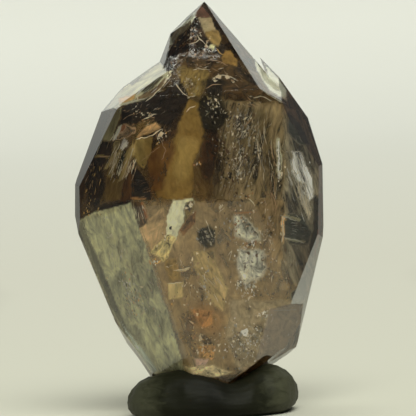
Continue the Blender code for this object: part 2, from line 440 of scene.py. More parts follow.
# The crack glints: short cracks with air in them, scattered through the crystal, which flash like
# small mirrors.
CLUSTER_SPREAD = 0.6
GLINTS = [
    # facing, across, height, spread across, spread in height, depth, count
    (0, 7.0, 34.0, 3.5, 8.0, 3.0, 260),
    (0, 6.0, 20.0, 4.5, 6.0, 3.5, 160),
    (0, -4.0, 20.0, 5.0, 7.0, 4.0, 80),
    (-58, 0.0, 19.0, 3.5, 6.5, 2.0, 140),
    (60, 1.0, 33.0, 3.5, 7.0, 1.8, 200),
    (0, -1.0, 10.0, 5.5, 3.0, 3.0, 120),
    (180, 0.0, 20.0, 7.0, 8.0, 4.0, 200),
    (120, 0.0, 28.0, 5.0, 8.0, 3.0, 160),
]


def piece_of(name, points, faces):
    """A new piece from its points and faces."""
    mesh = bpy.data.meshes.new(name)
    mesh.from_pydata(points, [], faces)
    piece = bpy.data.objects.new(name, mesh)
    bpy.context.scene.collection.objects.link(piece)
    return piece


chance = np.random.RandomState(7)
points, corners = [], []
for facing, across, height, wide, tall, depth, count in GLINTS:
    inward = -direction(facing, 0.0)
    for _ in range(count):
        a, h = chance.normal(across, wide * CLUSTER_SPREAD), chance.normal(height, tall * CLUSTER_SPREAD)
        down = (0.5 + abs(chance.normal(0.0, depth * CLUSTER_SPREAD))) * MM
        size = chance.gamma(2.0, 0.13) * MM
        first = Vector(chance.normal(size=3)).normalized()
        second = first.cross(Vector(chance.normal(size=3))).normalized()
        count_of_sides = chance.randint(3, 6)
        angles = np.sort(chance.uniform(0.0, 2 * math.pi, count_of_sides))
        stretch = chance.uniform(0.3, 1.0)
        hit, thick = skin(facing, a, h)
        if hit is None or thick < down + 1.5 * MM:
            continue
        middle = hit + inward * down
        near = surface.find_nearest(middle)[3]
        if near < size * 1.2 + 0.15 * MM:
            continue
        start = len(points)
        for angle in angles:
            points.append(middle + (first * math.cos(angle) + second * math.sin(angle) * stretch) * size)
        corners.append(tuple(range(start, start + count_of_sides)))
glints = piece_of("crack_glints", points, corners)
glint = Finish("crack_glint")
glint.plain(Base_Color=(0.85, 0.78, 0.66, 1.0), Metallic=1.0, Roughness=0.25)
glints.data.materials.append(glint.material)
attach(glints, "root")


# The growth marks: smoky and pale growth zones, cleavage windows, rust and healed cracks that lie just under
# the faces, each with its own outline, grain and direction. They grew inside the quartz, except the cream
# window and the shoulder's pale band, which are painted light from behind.
DARKEST_GRAIN = 0.10
# Pale threads along a mark's grain: painted highlights, drawn like hairline cracks
STRAND_HIGHLIGHT_SHARE = 0.03
STRAND_HIGHLIGHT_COLOUR = (0.92, 0.80, 0.60, 1.0)
MARKS = [
    # red, green, blue, cover, contrast, streakiness, slant, fade, then the corners (across, height)
    # upper body
    (0.208, 0.121, 0.035, 0.55, 0.9, 0.6, -24.0, 1.0, [(-13.5, 43.5), (-10.0, 44.7), (-2.1, 49.8),
        (6.2, 49.1), (12.1, 42.9), (16.7, 33.7), (16.8, 30.9), (1.0, 30.6), (-9.7, 30.9), (-17.3, 28.2),
        (-17.3, 33.4)]),
    # right wisps
    (0.378, 0.286, 0.151, 0.7, 1.5, 0.8, -16.0, 1.2, [(3.4, 44.3), (12.1, 43.0), (12.4, 36.6),
        (11.5, 23.6), (3.7, 23.3), (1.6, 30.3), (1.6, 35.8), (2.4, 39.9)]),
    # right wisps low
    (0.47, 0.336, 0.168, 0.6, 1.3, 0.55, -12.0, 1.2, [(0.3, 30.4), (11.8, 29.8), (10.7, 18.7),
        (4.5, 16.3), (2.7, 20.5), (1.3, 24.8)]),
    # far right
    (0.347, 0.299, 0.205, 0.8, 1.8, 0.85, 14.0, 0.6, [(11.8, 43.0), (14.1, 41.8), (16.3, 36.4),
        (16.9, 32.5), (16.1, 22.6), (14.5, 17.2), (12.7, 15.9), (10.5, 21.2)]),
    # lower body
    (0.671, 0.487, 0.249, 0.52, 0.8, 0.3, 10.0, 1.0, [(-9.5, 30.6), (0.3, 30.4), (4.8, 23.2),
        (12.8, 17.3), (12.8, 11.7), (8.8, 6.6), (2.5, 5.6), (-3.6, 6.2), (-5.4, 14.0), (-7.6, 23.0)]),
    # lower left face
    (0.97, 0.97, 0.64, 0.66, 1.1, 0.55, 12.0, 0.15, [(-17.6, 28.0), (-14.9, 29.2), (-9.7, 30.6),
        (-8.7, 27.0), (-7.6, 23.0), (-5.6, 15.2), (-3.5, 6.5), (-8.6, 5.9), (-12.1, 11.9), (-15.1, 19.0)]),
    # left strip
    (0.273, 0.262, 0.168, 0.85, 0.8, 0.8, 14.0, 0.3, [(-17.6, 27.8), (-16.8, 27.9), (-15.0, 22.6),
        (-12.6, 15.8), (-11.0, 11.8), (-11.6, 11.3), (-14.8, 18.7)]),
    # olive column
    (0.414, 0.26, 0.066, 0.75, 0.45, 0.3, 6.0, 0.5, [(-1.0, 44.5), (1.0, 43.6), (0.6, 38.6),
        (-0.4, 37.0), (-1.2, 34.9), (-1.4, 30.6), (-6.1, 30.8), (-6.1, 34.0), (-3.9, 38.7), (-2.2, 42.1)]),
    # column light
    (0.601, 0.414, 0.124, 0.7, 0.4, 0.3, 6.0, 0.9, [(-2.7, 39.1), (0.1, 38.7), (-0.4, 36.8),
        (-1.8, 33.8), (-3.3, 32.8), (-3.7, 35.4)]),
    # column left
    (0.244, 0.117, 0.028, 0.75, 0.7, 0.5, -10.0, 0.6, [(-6.6, 37.6), (-4.3, 39.5), (-3.5, 38.0),
        (-5.5, 32.1), (-6.8, 31.8), (-7.6, 34.6)]),
    # upper left dark
    (0.015, 0.008, 0.005, 0.94, 1.4, 0.5, -62.0, 0.35, [(-9.9, 44.0), (-6.5, 44.8), (-2.5, 46.8),
        (-0.8, 44.5), (-2.2, 42.7), (-4.2, 40.6), (-5.9, 41.2), (-6.6, 42.1), (-8.6, 41.3), (-9.7, 41.9)]),
    # dark under shoulder
    (0.051, 0.024, 0.008, 0.85, 1.6, 0.5, -40.0, 0.5, [(-5.9, 41.2), (-4.2, 40.8), (-2.2, 42.7),
        (-3.2, 39.7), (-4.6, 38.4), (-6.2, 39.0)]),
    # apex brown
    (0.114, 0.064, 0.02, 0.88, 1.7, 0.4, -50.0, 0.4, [(-2.0, 52.0), (1.6, 51.8), (3.8, 50.9),
        (6.1, 48.6), (9.0, 45.4), (5.9, 45.0), (2.2, 46.8), (0.6, 48.6), (-3.3, 48.2), (-2.6, 49.9)]),
    # apex dark right
    (0.024, 0.013, 0.005, 0.9, 1.2, 0.4, 50.0, 0.3, [(3.3, 52.3), (4.1, 51.2), (6.9, 47.7), (9.0, 45.4),
        (7.6, 45.7), (5.6, 48.1), (4.3, 49.8), (2.9, 50.1)]),
    # olive patch
    (0.313, 0.216, 0.064, 0.86, 1.5, 0.4, -30.0, 0.3, [(-2.4, 48.7), (1.3, 48.3), (1.9, 47.6),
        (1.6, 46.1), (0.3, 44.7), (-1.0, 44.7), (-2.1, 46.4), (-2.7, 48.1)]),
    # arc shade
    (0.02, 0.013, 0.006, 0.92, 1.2, 0.4, 10.0, 0.3, [(1.6, 46.6), (2.7, 47.1), (4.1, 46.5), (5.4, 45.8),
        (4.3, 44.5), (2.0, 44.4), (1.3, 45.2)]),
    # brown under arc
    (0.108, 0.059, 0.02, 0.85, 1.3, 0.5, -80.0, 0.5, [(3.5, 45.9), (6.7, 46.2), (9.0, 45.1), (7.5, 43.8),
        (3.9, 43.7)]),
    # dark blob
    (0.02, 0.015, 0.006, 0.93, 1.3, 0.3, 20.0, 0.45, [(0.7, 45.0), (3.4, 44.6), (4.3, 42.3), (3.5, 40.4),
        (1.5, 39.1), (0.6, 40.6), (0.2, 42.8)]),
    # dark under blob
    (0.068, 0.032, 0.011, 0.84, 1.3, 0.4, 20.0, 0.6, [(0.7, 39.5), (2.5, 39.9), (2.5, 36.9), (1.5, 33.3),
        (0.2, 33.1), (-0.3, 35.9)]),
    # tip cap
    (0.14, 0.059, 0.035, 0.88, 0.8, 0.3, 40.0, 0.12, [(1.4, 57.5), (2.6, 55.4), (1.0, 55.5), (0.0, 55.5)]),
    # tip window
    (0.619, 0.513, 0.313, 0.92, 0.4, 0.3, 80.0, 0.12, [(0.8, 55.5), (2.5, 55.4), (3.2, 53.8),
        (3.5, 52.9), (2.4, 52.1), (1.5, 52.8), (0.9, 54.2)]),
    # tip window low
    (0.457, 0.313, 0.108, 0.9, 0.8, 0.5, 40.0, 0.25, [(1.6, 53.6), (3.5, 53.7), (3.8, 52.3), (3.4, 51.3),
        (2.3, 51.5), (1.5, 52.4)]),
    # tip crumple
    (0.044, 0.02, 0.009, 0.92, 2.6, 0.4, -45.0, 0.2, [(-0.1, 55.7), (1.0, 55.3), (1.3, 53.8),
        (1.9, 52.4), (2.7, 51.4), (1.6, 50.7), (-1.7, 51.2), (-2.9, 50.1), (-2.6, 51.2), (-1.3, 53.7)]),
    # ochre patch
    (0.471, 0.282, 0.072, 0.92, 0.8, 0.3, 60.0, 0.15, [(4.2, 50.7), (5.0, 50.7), (6.0, 49.3),
        (5.8, 48.4), (3.8, 49.0), (3.7, 49.7)]),
    # cream chip
    (0.873, 0.873, 0.499, 0.95, 0.3, 0.0, 0.0, 0.08, [(2.1, 51.4), (3.1, 51.4), (2.8, 50.7), (2.1, 50.9)]),
    # black chip
    (0.008, 0.005, 0.003, 0.95, 0.3, 0.0, 0.0, 0.08, [(2.9, 51.1), (3.7, 50.4), (3.3, 50.1), (2.5, 50.3)]),
    # grey panel
    (0.369, 0.335, 0.184, 0.9, 0.7, 0.9, -20.0, 0.12, [(-12.1, 43.0), (-10.3, 43.4), (-11.1, 41.2),
        (-12.1, 39.0), (-13.8, 39.1), (-12.9, 41.1)]),
    # left rim
    (0.059, 0.026, 0.008, 0.92, 1.0, 0.85, -22.0, 0.25, [(-13.2, 43.8), (-12.2, 43.9), (-13.0, 41.8),
        (-14.0, 39.1), (-15.0, 36.4), (-16.1, 33.7), (-17.0, 28.5), (-17.6, 28.3), (-17.5, 33.5),
        (-15.7, 38.1)]),
    # black a
    (0.011, 0.006, 0.004, 0.96, 0.9, 0.4, -40.0, 0.12, [(-10.3, 43.4), (-8.5, 44.1), (-8.4, 42.4),
        (-9.6, 41.5), (-10.7, 41.3)]),
    # pink left
    (0.772, 0.542, 0.335, 0.92, 1.2, 0.4, -70.0, 0.12, [(-10.7, 41.2), (-9.7, 41.4), (-8.6, 40.8),
        (-8.7, 40.0), (-10.1, 39.5), (-11.9, 39.0), (-11.3, 40.0)]),
    # pink left edge
    (0.873, 0.873, 0.719, 0.95, 0.4, 0.0, 0.0, 0.08, [(-10.8, 41.2), (-10.4, 41.3), (-11.0, 39.8),
        (-11.9, 39.0)]),
    # rust
    (0.347, 0.147, 0.072, 0.9, 0.6, 0.0, 0.0, 0.12, [(-10.4, 41.2), (-9.7, 41.4), (-10.0, 40.6),
        (-10.7, 40.3)]),
    # black b
    (0.011, 0.006, 0.004, 0.96, 0.9, 0.4, -60.0, 0.12, [(-7.0, 43.5), (-5.6, 43.7), (-5.2, 42.8),
        (-6.6, 42.2), (-7.5, 41.7)]),
    # pink right
    (0.652, 0.419, 0.199, 0.92, 1.3, 0.6, -66.0, 0.12, [(-8.7, 39.4), (-7.2, 41.0), (-6.0, 41.5),
        (-5.2, 40.6), (-6.8, 39.9), (-8.6, 39.3)]),
    # olive window
    (0.414, 0.299, 0.092, 0.88, 0.35, 0.3, 0.0, 0.15, [(-8.9, 39.1), (-6.4, 39.4), (-6.8, 37.0),
        (-7.8, 35.2), (-8.5, 35.7), (-9.1, 37.4)]),
    # dark left mid
    (0.024, 0.011, 0.005, 0.92, 1.8, 0.4, -20.0, 0.15, [(-14.1, 39.0), (-11.9, 38.9), (-12.7, 37.1),
        (-13.5, 35.1), (-14.1, 34.4), (-15.8, 34.2), (-14.9, 36.7)]),
    # dark left low
    (0.026, 0.013, 0.005, 0.9, 1.8, 0.5, -10.0, 0.4, [(-16.2, 34.3), (-13.5, 34.8), (-13.2, 32.5),
        (-14.3, 30.3), (-15.0, 29.5), (-15.8, 30.4)]),
    # left tan low
    (0.234, 0.147, 0.041, 0.86, 1.0, 0.7, -20.0, 0.3, [(-13.0, 34.1), (-10.5, 33.7), (-11.1, 31.0),
        (-14.2, 30.3), (-13.2, 32.5)]),
    # left brown low
    (0.133, 0.055, 0.013, 0.86, 1.0, 0.7, -12.0, 0.25, [(-10.3, 34.8), (-9.2, 35.8), (-9.6, 30.9),
        (-11.3, 30.6)]),
    # streak a
    (0.499, 0.393, 0.191, 0.93, 1.2, 0.9, -25.0, 0.1, [(-11.4, 39.1), (-10.7, 39.0), (-12.8, 35.2),
        (-13.4, 35.0), (-12.4, 37.0)]),
    # streak shade
    (0.015, 0.02, 0.015, 0.93, 1.2, 0.9, -25.0, 0.1, [(-10.6, 37.8), (-9.8, 37.9), (-10.9, 35.1),
        (-11.8, 34.0)]),
    # streak b
    (0.393, 0.302, 0.133, 0.93, 1.2, 0.9, -25.0, 0.1, [(-11.6, 37.3), (-10.7, 38.3), (-10.5, 37.7),
        (-12.2, 34.1), (-13.0, 34.1)]),
    # streak c
    (0.457, 0.347, 0.147, 0.93, 1.0, 0.9, -22.0, 0.1, [(-9.8, 37.9), (-8.7, 38.9), (-9.0, 37.1),
        (-10.5, 34.0), (-11.5, 33.3), (-10.6, 35.6)]),
    # white burst
    (0.873, 0.873, 0.867, 0.96, 0.8, 0.6, -35.0, 0.08, [(-10.2, 39.5), (-9.6, 38.9), (-9.7, 38.4),
        (-10.9, 37.9), (-10.7, 38.4)]),
    # sill
    (0.282, 0.208, 0.072, 0.92, 0.3, 0.0, 0.0, 0.06, [(-14.4, 37.1), (-12.6, 37.1), (-12.7, 36.8),
        (-14.5, 36.8)]),
    # dark triangle
    (0.009, 0.005, 0.003, 0.96, 1.4, 0.9, -88.0, 0.1, [(-9.2, 35.8), (-8.4, 35.0), (-7.1, 32.8),
        (-6.9, 31.4), (-7.0, 30.7), (-9.6, 31.0)]),
    # orange sill
    (0.457, 0.243, 0.097, 0.92, 0.5, 0.0, 0.0, 0.08, [(-9.7, 31.2), (-7.8, 31.1), (-7.9, 30.8),
        (-9.7, 31.0)]),
    # dark strip
    (0.02, 0.011, 0.005, 0.92, 1.6, 0.6, -70.0, 0.15, [(-16.5, 28.5), (-14.9, 29.9), (-11.7, 30.6),
        (-9.7, 30.8), (-9.7, 30.5), (-15.1, 29.1)]),
    # cream window: painted light, pale where light from behind shows through clear quartz
    (0.97, 0.97, 0.711, 0.96, 0.45, 0.3, -20.0, 0.1, [(-4.1, 30.7), (-1.3, 30.6), (-1.1, 30.0),
        (-2.2, 29.0), (-3.0, 27.2), (-4.1, 24.9), (-5.4, 25.4), (-5.2, 27.6), (-4.7, 29.5)]),
    # window specks
    (0.153, 0.108, 0.038, 0.85, 2.6, 0.0, 0.0, 0.3, [(-2.3, 30.1), (-1.2, 30.3), (-1.4, 29.1),
        (-2.7, 27.5), (-2.8, 28.9)]),
    # tan left of window
    (0.674, 0.471, 0.244, 0.9, 0.8, 0.4, -30.0, 0.15, [(-8.7, 27.0), (-7.5, 28.1), (-5.5, 29.7),
        (-5.1, 27.3), (-6.1, 23.8), (-7.3, 23.6), (-8.3, 25.8)]),
    # window tail: painted light, the pale tail of the cream window
    (0.97, 0.82, 0.378, 0.9, 1.4, 0.5, -25.0, 0.2, [(-6.0, 25.3), (-5.0, 26.1), (-3.9, 25.5),
        (-5.2, 22.9), (-5.9, 22.1), (-7.5, 23.6)]),
    # dark streaks
    (0.064, 0.035, 0.016, 0.9, 1.9, 0.9, 14.0, 0.12, [(-9.6, 30.7), (-8.5, 30.5), (-7.7, 27.7),
        (-8.7, 27.0), (-9.1, 28.6)]),
    # rust streak
    (0.457, 0.176, 0.059, 0.9, 0.6, 0.9, 14.0, 0.08, [(-8.5, 30.5), (-8.2, 30.5), (-7.6, 28.4),
        (-7.9, 28.2)]),
    # rusty shard
    (0.357, 0.176, 0.064, 0.9, 1.2, 0.5, -35.0, 0.15, [(-3.3, 26.4), (-2.1, 28.3), (-1.0, 29.0),
        (-1.2, 27.4), (-2.8, 25.5)]),
    # dark mark
    (0.108, 0.086, 0.041, 0.88, 2.4, 0.3, 20.0, 0.2, [(-1.0, 26.3), (0.7, 27.0), (1.5, 25.9),
        (1.3, 23.9), (0.1, 23.7), (-0.9, 24.8)]),
    # olive dark
    (0.35, 0.228, 0.069, 0.86, 1.5, 0.3, 0.0, 0.4, [(-5.9, 22.5), (-4.1, 22.7), (-3.5, 19.5),
        (-5.3, 19.4)]),
    # pale square
    (0.914, 0.732, 0.35, 0.92, 0.5, 0.2, 0.0, 0.15, [(-5.4, 19.2), (-3.4, 19.2), (-3.3, 17.1),
        (-5.2, 16.8)]),
    # cream line
    (0.873, 0.772, 0.499, 0.92, 0.6, 0.4, -80.0, 0.08, [(-4.2, 20.7), (-3.1, 20.9), (-2.1, 21.1),
        (-2.8, 20.7)]),
    # beige fan
    (0.82, 0.631, 0.297, 0.6, 1.0, 0.6, 25.0, 0.5, [(-1.8, 23.6), (0.9, 23.4), (2.9, 17.8), (1.9, 14.8),
        (-0.2, 16.5), (-1.4, 20.5)]),
    # orange stain
    (0.619, 0.382, 0.168, 0.88, 1.3, 0.2, 0.0, 0.35, [(-2.5, 15.6), (0.4, 15.0), (0.5, 13.0),
        (-1.0, 12.7), (-1.8, 14.1)]),
    # orange stain low
    (0.668, 0.393, 0.153, 0.88, 1.8, 0.2, 0.0, 0.35, [(-1.7, 10.2), (0.7, 10.0), (0.4, 7.9), (-1.4, 8.2)]),
    # pink foot
    (0.754, 0.527, 0.406, 0.88, 1.2, 0.0, 0.0, 0.25, [(-2.2, 8.3), (-0.1, 8.2), (-0.6, 7.3), (-2.1, 7.4)]),
    # cream foot
    (0.97, 0.82, 0.487, 0.88, 1.5, 0.2, 40.0, 0.35, [(-3.8, 7.4), (0.4, 7.2), (2.8, 6.1), (0.6, 5.6),
        (-3.0, 6.2)]),
    # foot strip
    (0.711, 0.776, 0.711, 0.85, 1.6, 0.9, 40.0, 0.15, [(-12.3, 13.6), (-11.3, 12.1), (-8.7, 8.4),
        (-7.4, 6.4), (-8.3, 6.2), (-10.3, 9.3)]),
    # milk high
    (0.97, 0.97, 0.798, 0.9, 1.2, 0.3, 20.0, 0.9, [(4.5, 28.2), (6.1, 27.4), (7.3, 25.8), (7.8, 24.4),
        (5.8, 24.4), (4.4, 25.2)]),
    # milk low
    (0.97, 0.97, 0.843, 0.9, 1.3, 0.3, 10.0, 0.9, [(4.5, 23.2), (8.0, 23.0), (8.3, 20.5), (7.1, 18.9),
        (5.4, 18.5), (4.4, 21.0)]),
    # rust line
    (0.513, 0.225, 0.072, 0.9, 0.8, 0.8, 86.0, 0.08, [(4.3, 28.5), (5.9, 28.5), (7.6, 28.4), (6.5, 28.2),
        (4.8, 28.2)]),
    # foot haze
    (0.798, 0.651, 0.407, 0.55, 0.8, 0.2, 20.0, 0.8, [(3.3, 16.4), (12.2, 15.9), (12.5, 11.7),
        (8.9, 6.9), (3.9, 6.3), (2.2, 10.9)]),
    # foot blob
    (0.556, 0.407, 0.249, 0.85, 0.6, 0.0, 0.0, 0.2, [(4.4, 6.9), (5.5, 7.0), (5.7, 5.8), (4.4, 5.5)]),
    # right dark bars
    (0.064, 0.068, 0.055, 0.9, 1.3, 0.7, 72.0, 0.25, [(11.4, 27.8), (13.6, 27.2), (14.8, 24.6),
        (14.3, 23.0), (11.7, 23.7), (11.0, 24.8)]),
    # right dark high
    (0.051, 0.055, 0.051, 0.88, 1.6, 0.7, 68.0, 0.25, [(12.3, 41.9), (14.0, 40.2), (15.5, 37.0),
        (13.8, 37.1), (12.0, 39.2)]),
    # bar high
    (0.652, 0.603, 0.393, 0.92, 0.5, 0.8, 68.0, 0.07, [(11.0, 27.7), (13.3, 26.8), (13.1, 26.5),
        (11.0, 27.5)]),
    # bar low
    (0.603, 0.557, 0.369, 0.92, 0.5, 0.8, 76.0, 0.07, [(11.0, 24.5), (14.0, 23.6), (13.8, 23.4),
        (11.0, 24.3)]),
    # white streaks
    (0.97, 0.97, 0.964, 0.94, 2.4, 0.96, 18.0, 0.25, [(12.5, 36.4), (13.8, 36.0), (15.2, 32.3),
        (15.4, 29.6), (14.2, 28.8), (13.3, 31.6), (12.3, 33.6)]),
    # white streaks low
    (0.736, 0.652, 0.499, 0.92, 2.4, 0.96, 12.0, 0.25, [(13.3, 31.9), (14.1, 31.6), (15.0, 27.7),
        (14.4, 26.6), (13.7, 28.8)]),
    # edge line
    (0.873, 0.873, 0.652, 0.92, 2.2, 0.96, -2.0, 0.1, [(10.6, 38.4), (11.0, 38.4), (11.0, 35.3),
        (10.7, 32.3), (10.3, 34.0)]),
    # edge line low
    (0.873, 0.572, 0.282, 0.92, 2.2, 0.9, 4.0, 0.1, [(10.6, 27.3), (11.1, 27.6), (11.1, 25.4),
        (10.8, 23.7), (10.6, 25.4)]),
    # dark right rim
    (0.035, 0.022, 0.012, 0.92, 1.0, 0.9, -4.0, 0.2, [(15.5, 30.1), (16.2, 29.5), (15.8, 24.6),
        (14.8, 21.0), (14.3, 21.6), (15.0, 25.2)]),
    # red rim
    (0.272, 0.077, 0.044, 0.92, 0.8, 0.9, -4.0, 0.15, [(16.2, 30.1), (16.8, 30.1), (16.2, 24.0),
        (15.3, 21.0), (15.0, 21.6), (15.8, 25.1)]),
    # dark right low
    (0.051, 0.041, 0.022, 0.9, 1.0, 0.7, -10.0, 0.3, [(12.9, 18.4), (14.1, 19.1), (13.9, 16.4),
        (13.3, 15.3), (12.7, 16.1)]),
    # grey right low
    (0.302, 0.324, 0.225, 0.86, 0.9, 0.4, 10.0, 0.4, [(11.4, 17.0), (12.7, 17.3), (13.1, 15.3),
        (11.6, 14.8)]),
    # apex left strip
    (0.527, 0.549, 0.445, 0.9, 0.9, 0.9, -43.0, 0.15, [(1.1, 57.3), (0.4, 55.8), (-1.1, 53.6),
        (-2.5, 52.6), (-3.7, 51.0), (-4.4, 50.8), (-3.6, 52.7), (-1.3, 55.0)]),
    # shoulder: painted light, pale where the light from behind and above shows in the shoulder, streaked
    # along its growth steps
    (0.619, 0.588, 0.382, 0.92, 1.2, 0.92, -60.0, 0.12, [(-13.5, 43.7), (-10.8, 46.3), (-8.7, 47.6),
        (-6.3, 48.8), (-4.9, 49.7), (-4.1, 48.6), (-3.1, 48.4), (-3.9, 46.9), (-6.4, 44.7), (-8.3, 44.2),
        (-11.8, 43.2)]),
    # shoulder rim
    (0.092, 0.055, 0.029, 0.9, 0.8, 0.9, -60.0, 0.08, [(-9.4, 46.9), (-8.7, 47.6), (-6.8, 48.6),
        (-6.7, 48.3), (-8.3, 47.1), (-9.3, 46.5)]),
    # shoulder dark
    (0.108, 0.114, 0.068, 0.9, 1.4, 0.9, -50.0, 0.1, [(-7.7, 45.7), (-6.4, 46.6), (-5.2, 47.5),
        (-4.3, 47.6), (-5.6, 46.4), (-7.0, 45.4)]),
    # shoulder tan
    (0.302, 0.199, 0.103, 0.88, 1.2, 0.9, -52.0, 0.12, [(-8.3, 44.8), (-7.0, 45.4), (-5.3, 46.4),
        (-3.9, 47.4), (-4.3, 46.6), (-6.2, 44.9), (-8.0, 44.3)]),
    # shoulder orange
    (0.702, 0.431, 0.16, 0.92, 0.8, 0.5, -66.0, 0.1, [(-11.1, 44.8), (-9.8, 45.1), (-8.5, 45.3),
        (-8.6, 44.6), (-10.7, 43.9)]),
    # ledge pale
    (0.873, 0.873, 0.736, 0.95, 0.2, 0.3, 50.0, 0.2, [(7.9, 50.1), (9.2, 49.0), (12.3, 44.9),
        (12.5, 43.3), (9.8, 44.8), (8.3, 47.6)]),
    # corner crumple
    (0.051, 0.022, 0.011, 0.92, 2.4, 0.4, -40.0, 0.12, [(-4.1, 50.8), (-3.1, 51.8), (-2.3, 51.2),
        (-2.7, 49.6), (-3.1, 48.2), (-4.1, 48.3), (-4.6, 49.1)]),
]
# The back's marks and the sides', which are set out in the same way
BACK_MARKS = [
    # brown upper body
    (0.190, 0.110, 0.040, 0.75, 1.5, 0.7, -14.0, 1.5, [(-15.0, 44.0), (-4.0, 46.0), (9.0, 44.0),
        (16.5, 34.0), (16.5, 26.0), (3.0, 24.0), (-16.0, 26.0)]),
    # pale foot
    (0.400, 0.330, 0.210, 0.75, 1.8, 0.5, 12.0, 1.5, [(-17.0, 27.0), (0.0, 25.0), (16.5, 26.0),
        (10.0, 8.0), (-4.0, 4.0), (-12.0, 8.0)]),
    # olive patch under the point
    (0.300, 0.220, 0.100, 0.85, 1.2, 0.6, -30.0, 0.4, [(-6.0, 46.0), (0.0, 50.0), (4.0, 47.0),
        (2.0, 41.0), (-4.0, 42.0)]),
    # dark patches
    (0.020, 0.012, 0.006, 0.92, 1.3, 0.6, -20.0, 0.3, [(5.0, 44.0), (10.0, 42.0), (13.0, 34.0),
        (8.0, 32.0), (5.0, 38.0)]),
    (0.030, 0.018, 0.009, 0.90, 1.5, 0.6, 20.0, 0.4, [(-13.0, 41.0), (-8.0, 44.0), (-6.0, 36.0),
        (-9.0, 30.0), (-13.0, 33.0)]),
    # tan streak
    (0.420, 0.330, 0.170, 0.90, 0.8, 0.8, -20.0, 0.2, [(-1.0, 38.0), (2.0, 39.0), (1.0, 30.0),
        (-3.0, 28.0)]),
    # cream window
    (0.800, 0.720, 0.520, 0.93, 0.8, 0.3, -16.0, 0.2, [(3.0, 27.0), (7.0, 28.0), (6.0, 21.0),
        (3.5, 19.0)]),
    # milky patch
    (0.720, 0.680, 0.560, 0.92, 1.3, 0.3, 10.0, 0.3, [(-9.0, 22.0), (-4.0, 23.0), (-3.0, 15.0),
        (-8.0, 14.0)]),
    # rust stain
    (0.400, 0.160, 0.040, 0.88, 1.5, 0.2, 0.0, 0.4, [(0.0, 15.0), (3.0, 15.0), (3.0, 12.0), (0.0, 12.0)]),
]
SIDE_MARKS = [
    # brown upper body
    (0.160, 0.095, 0.038, 0.75, 1.8, 0.8, 10.0, 1.5, [(-12.0, 46.0), (12.0, 46.0), (13.0, 27.0),
        (-13.0, 27.0)]),
    # pale foot
    (0.380, 0.320, 0.220, 0.75, 1.8, 0.6, -12.0, 1.5, [(-13.0, 28.0), (13.0, 28.0), (9.0, 6.0),
        (-9.0, 6.0)]),
    # dark streak
    (0.020, 0.012, 0.006, 0.92, 1.3, 0.7, 12.0, 0.3, [(1.0, 42.0), (4.0, 41.0), (5.0, 33.0), (2.0, 30.0)]),
    # tan streak
    (0.420, 0.340, 0.200, 0.90, 1.2, 0.9, 14.0, 0.2, [(-5.0, 40.0), (-2.5, 40.0), (-1.0, 31.0),
        (-4.0, 30.0)]),
    # cream streak
    (0.700, 0.640, 0.500, 0.90, 1.8, 0.9, 12.0, 0.3, [(-2.0, 26.0), (1.0, 27.0), (3.0, 17.0), (0.0, 15.0)]),
]


def inside_by(spots, outline):
    """How far each spot lies inside an outline, and less than nothing outside it."""
    away, crossings = np.full(len(spots), 1e9), np.zeros(len(spots), int)
    for first, second in zip(np.array(outline), np.roll(np.array(outline), -1, axis=0)):
        along = second - first
        share = np.clip((spots - first) @ along / (along @ along), 0.0, 1.0)[:, None]
        away = np.minimum(away, np.linalg.norm(spots - first - share * along, axis=1))
        rise = along[1] if abs(along[1]) > 1e-9 else 1e-9
        crossings += ((first[1] > spots[:, 1]) != (second[1] > spots[:, 1])) \
            & (spots[:, 0] < first[0] + (spots[:, 1] - first[1]) * along[0] / rise)
    return np.where(crossings % 2 == 1, away, -away)


def paint_marks(sheet, facing, marks, wander):
    """Lays growth marks on a sheet as its shade, grain and contrast; wander roughens their outlines."""
    outward = direction(facing, 0.0)
    right = Vector((-outward.y, outward.x, 0.0))
    spots = np.array([(v.co.dot(right), v.co.z) for v in sheet.data.vertices]) / MM
    bends = []
    for x, z in spots:
        broad = noise.noise_vector((x * 0.5, z * 0.5, 3.0))
        fine = noise.noise_vector((x * 2.1, z * 2.1, 9.0))
        bends.append((broad.x * wander + fine.x * wander * 0.5, broad.y * wander + fine.y * wander * 0.5))
    bends = np.array(bends)
    count = len(spots)
    shade, contrast, grain = np.zeros((count, 4)), np.zeros(count), np.zeros((count, 3))
    for number, (red, green, blue, cover, strength, streaky, slant, fade, outline) in enumerate(marks):
        inside = inside_by(spots + bends * min(1.0, 0.4 + fade), outline)
        share = eased(np.clip(inside / fade + 0.5, 0.0, 1.0))
        layer = np.array((red * cover, green * cover, blue * cover, cover))
        shade = shade * (1.0 - share[:, None]) + layer * share[:, None]
        contrast = contrast * (1.0 - share) + strength * share
        lean = math.radians(slant)
        along = spots @ np.array((-math.sin(lean), math.cos(lean))) * (0.85 - 0.68 * streaky)
        across = spots @ np.array((math.cos(lean), math.sin(lean))) * (0.85 + 0.75 * streaky)
        here = share > 0.5
        grain[here] = np.column_stack((across, along, np.full(count, number * 3.1)))[here]
    shade[:, :3] /= np.maximum(shade[:, 3:], 1e-6)
    sheet.data.attributes.new("shade", "FLOAT_COLOR", "POINT").data.foreach_set("color", shade.ravel())
    sheet.data.attributes.new("grain", "FLOAT_VECTOR", "POINT").data.foreach_set("vector", grain.ravel())
    sheet.data.attributes.new("contrast", "FLOAT", "POINT").data.foreach_set("value", contrast)


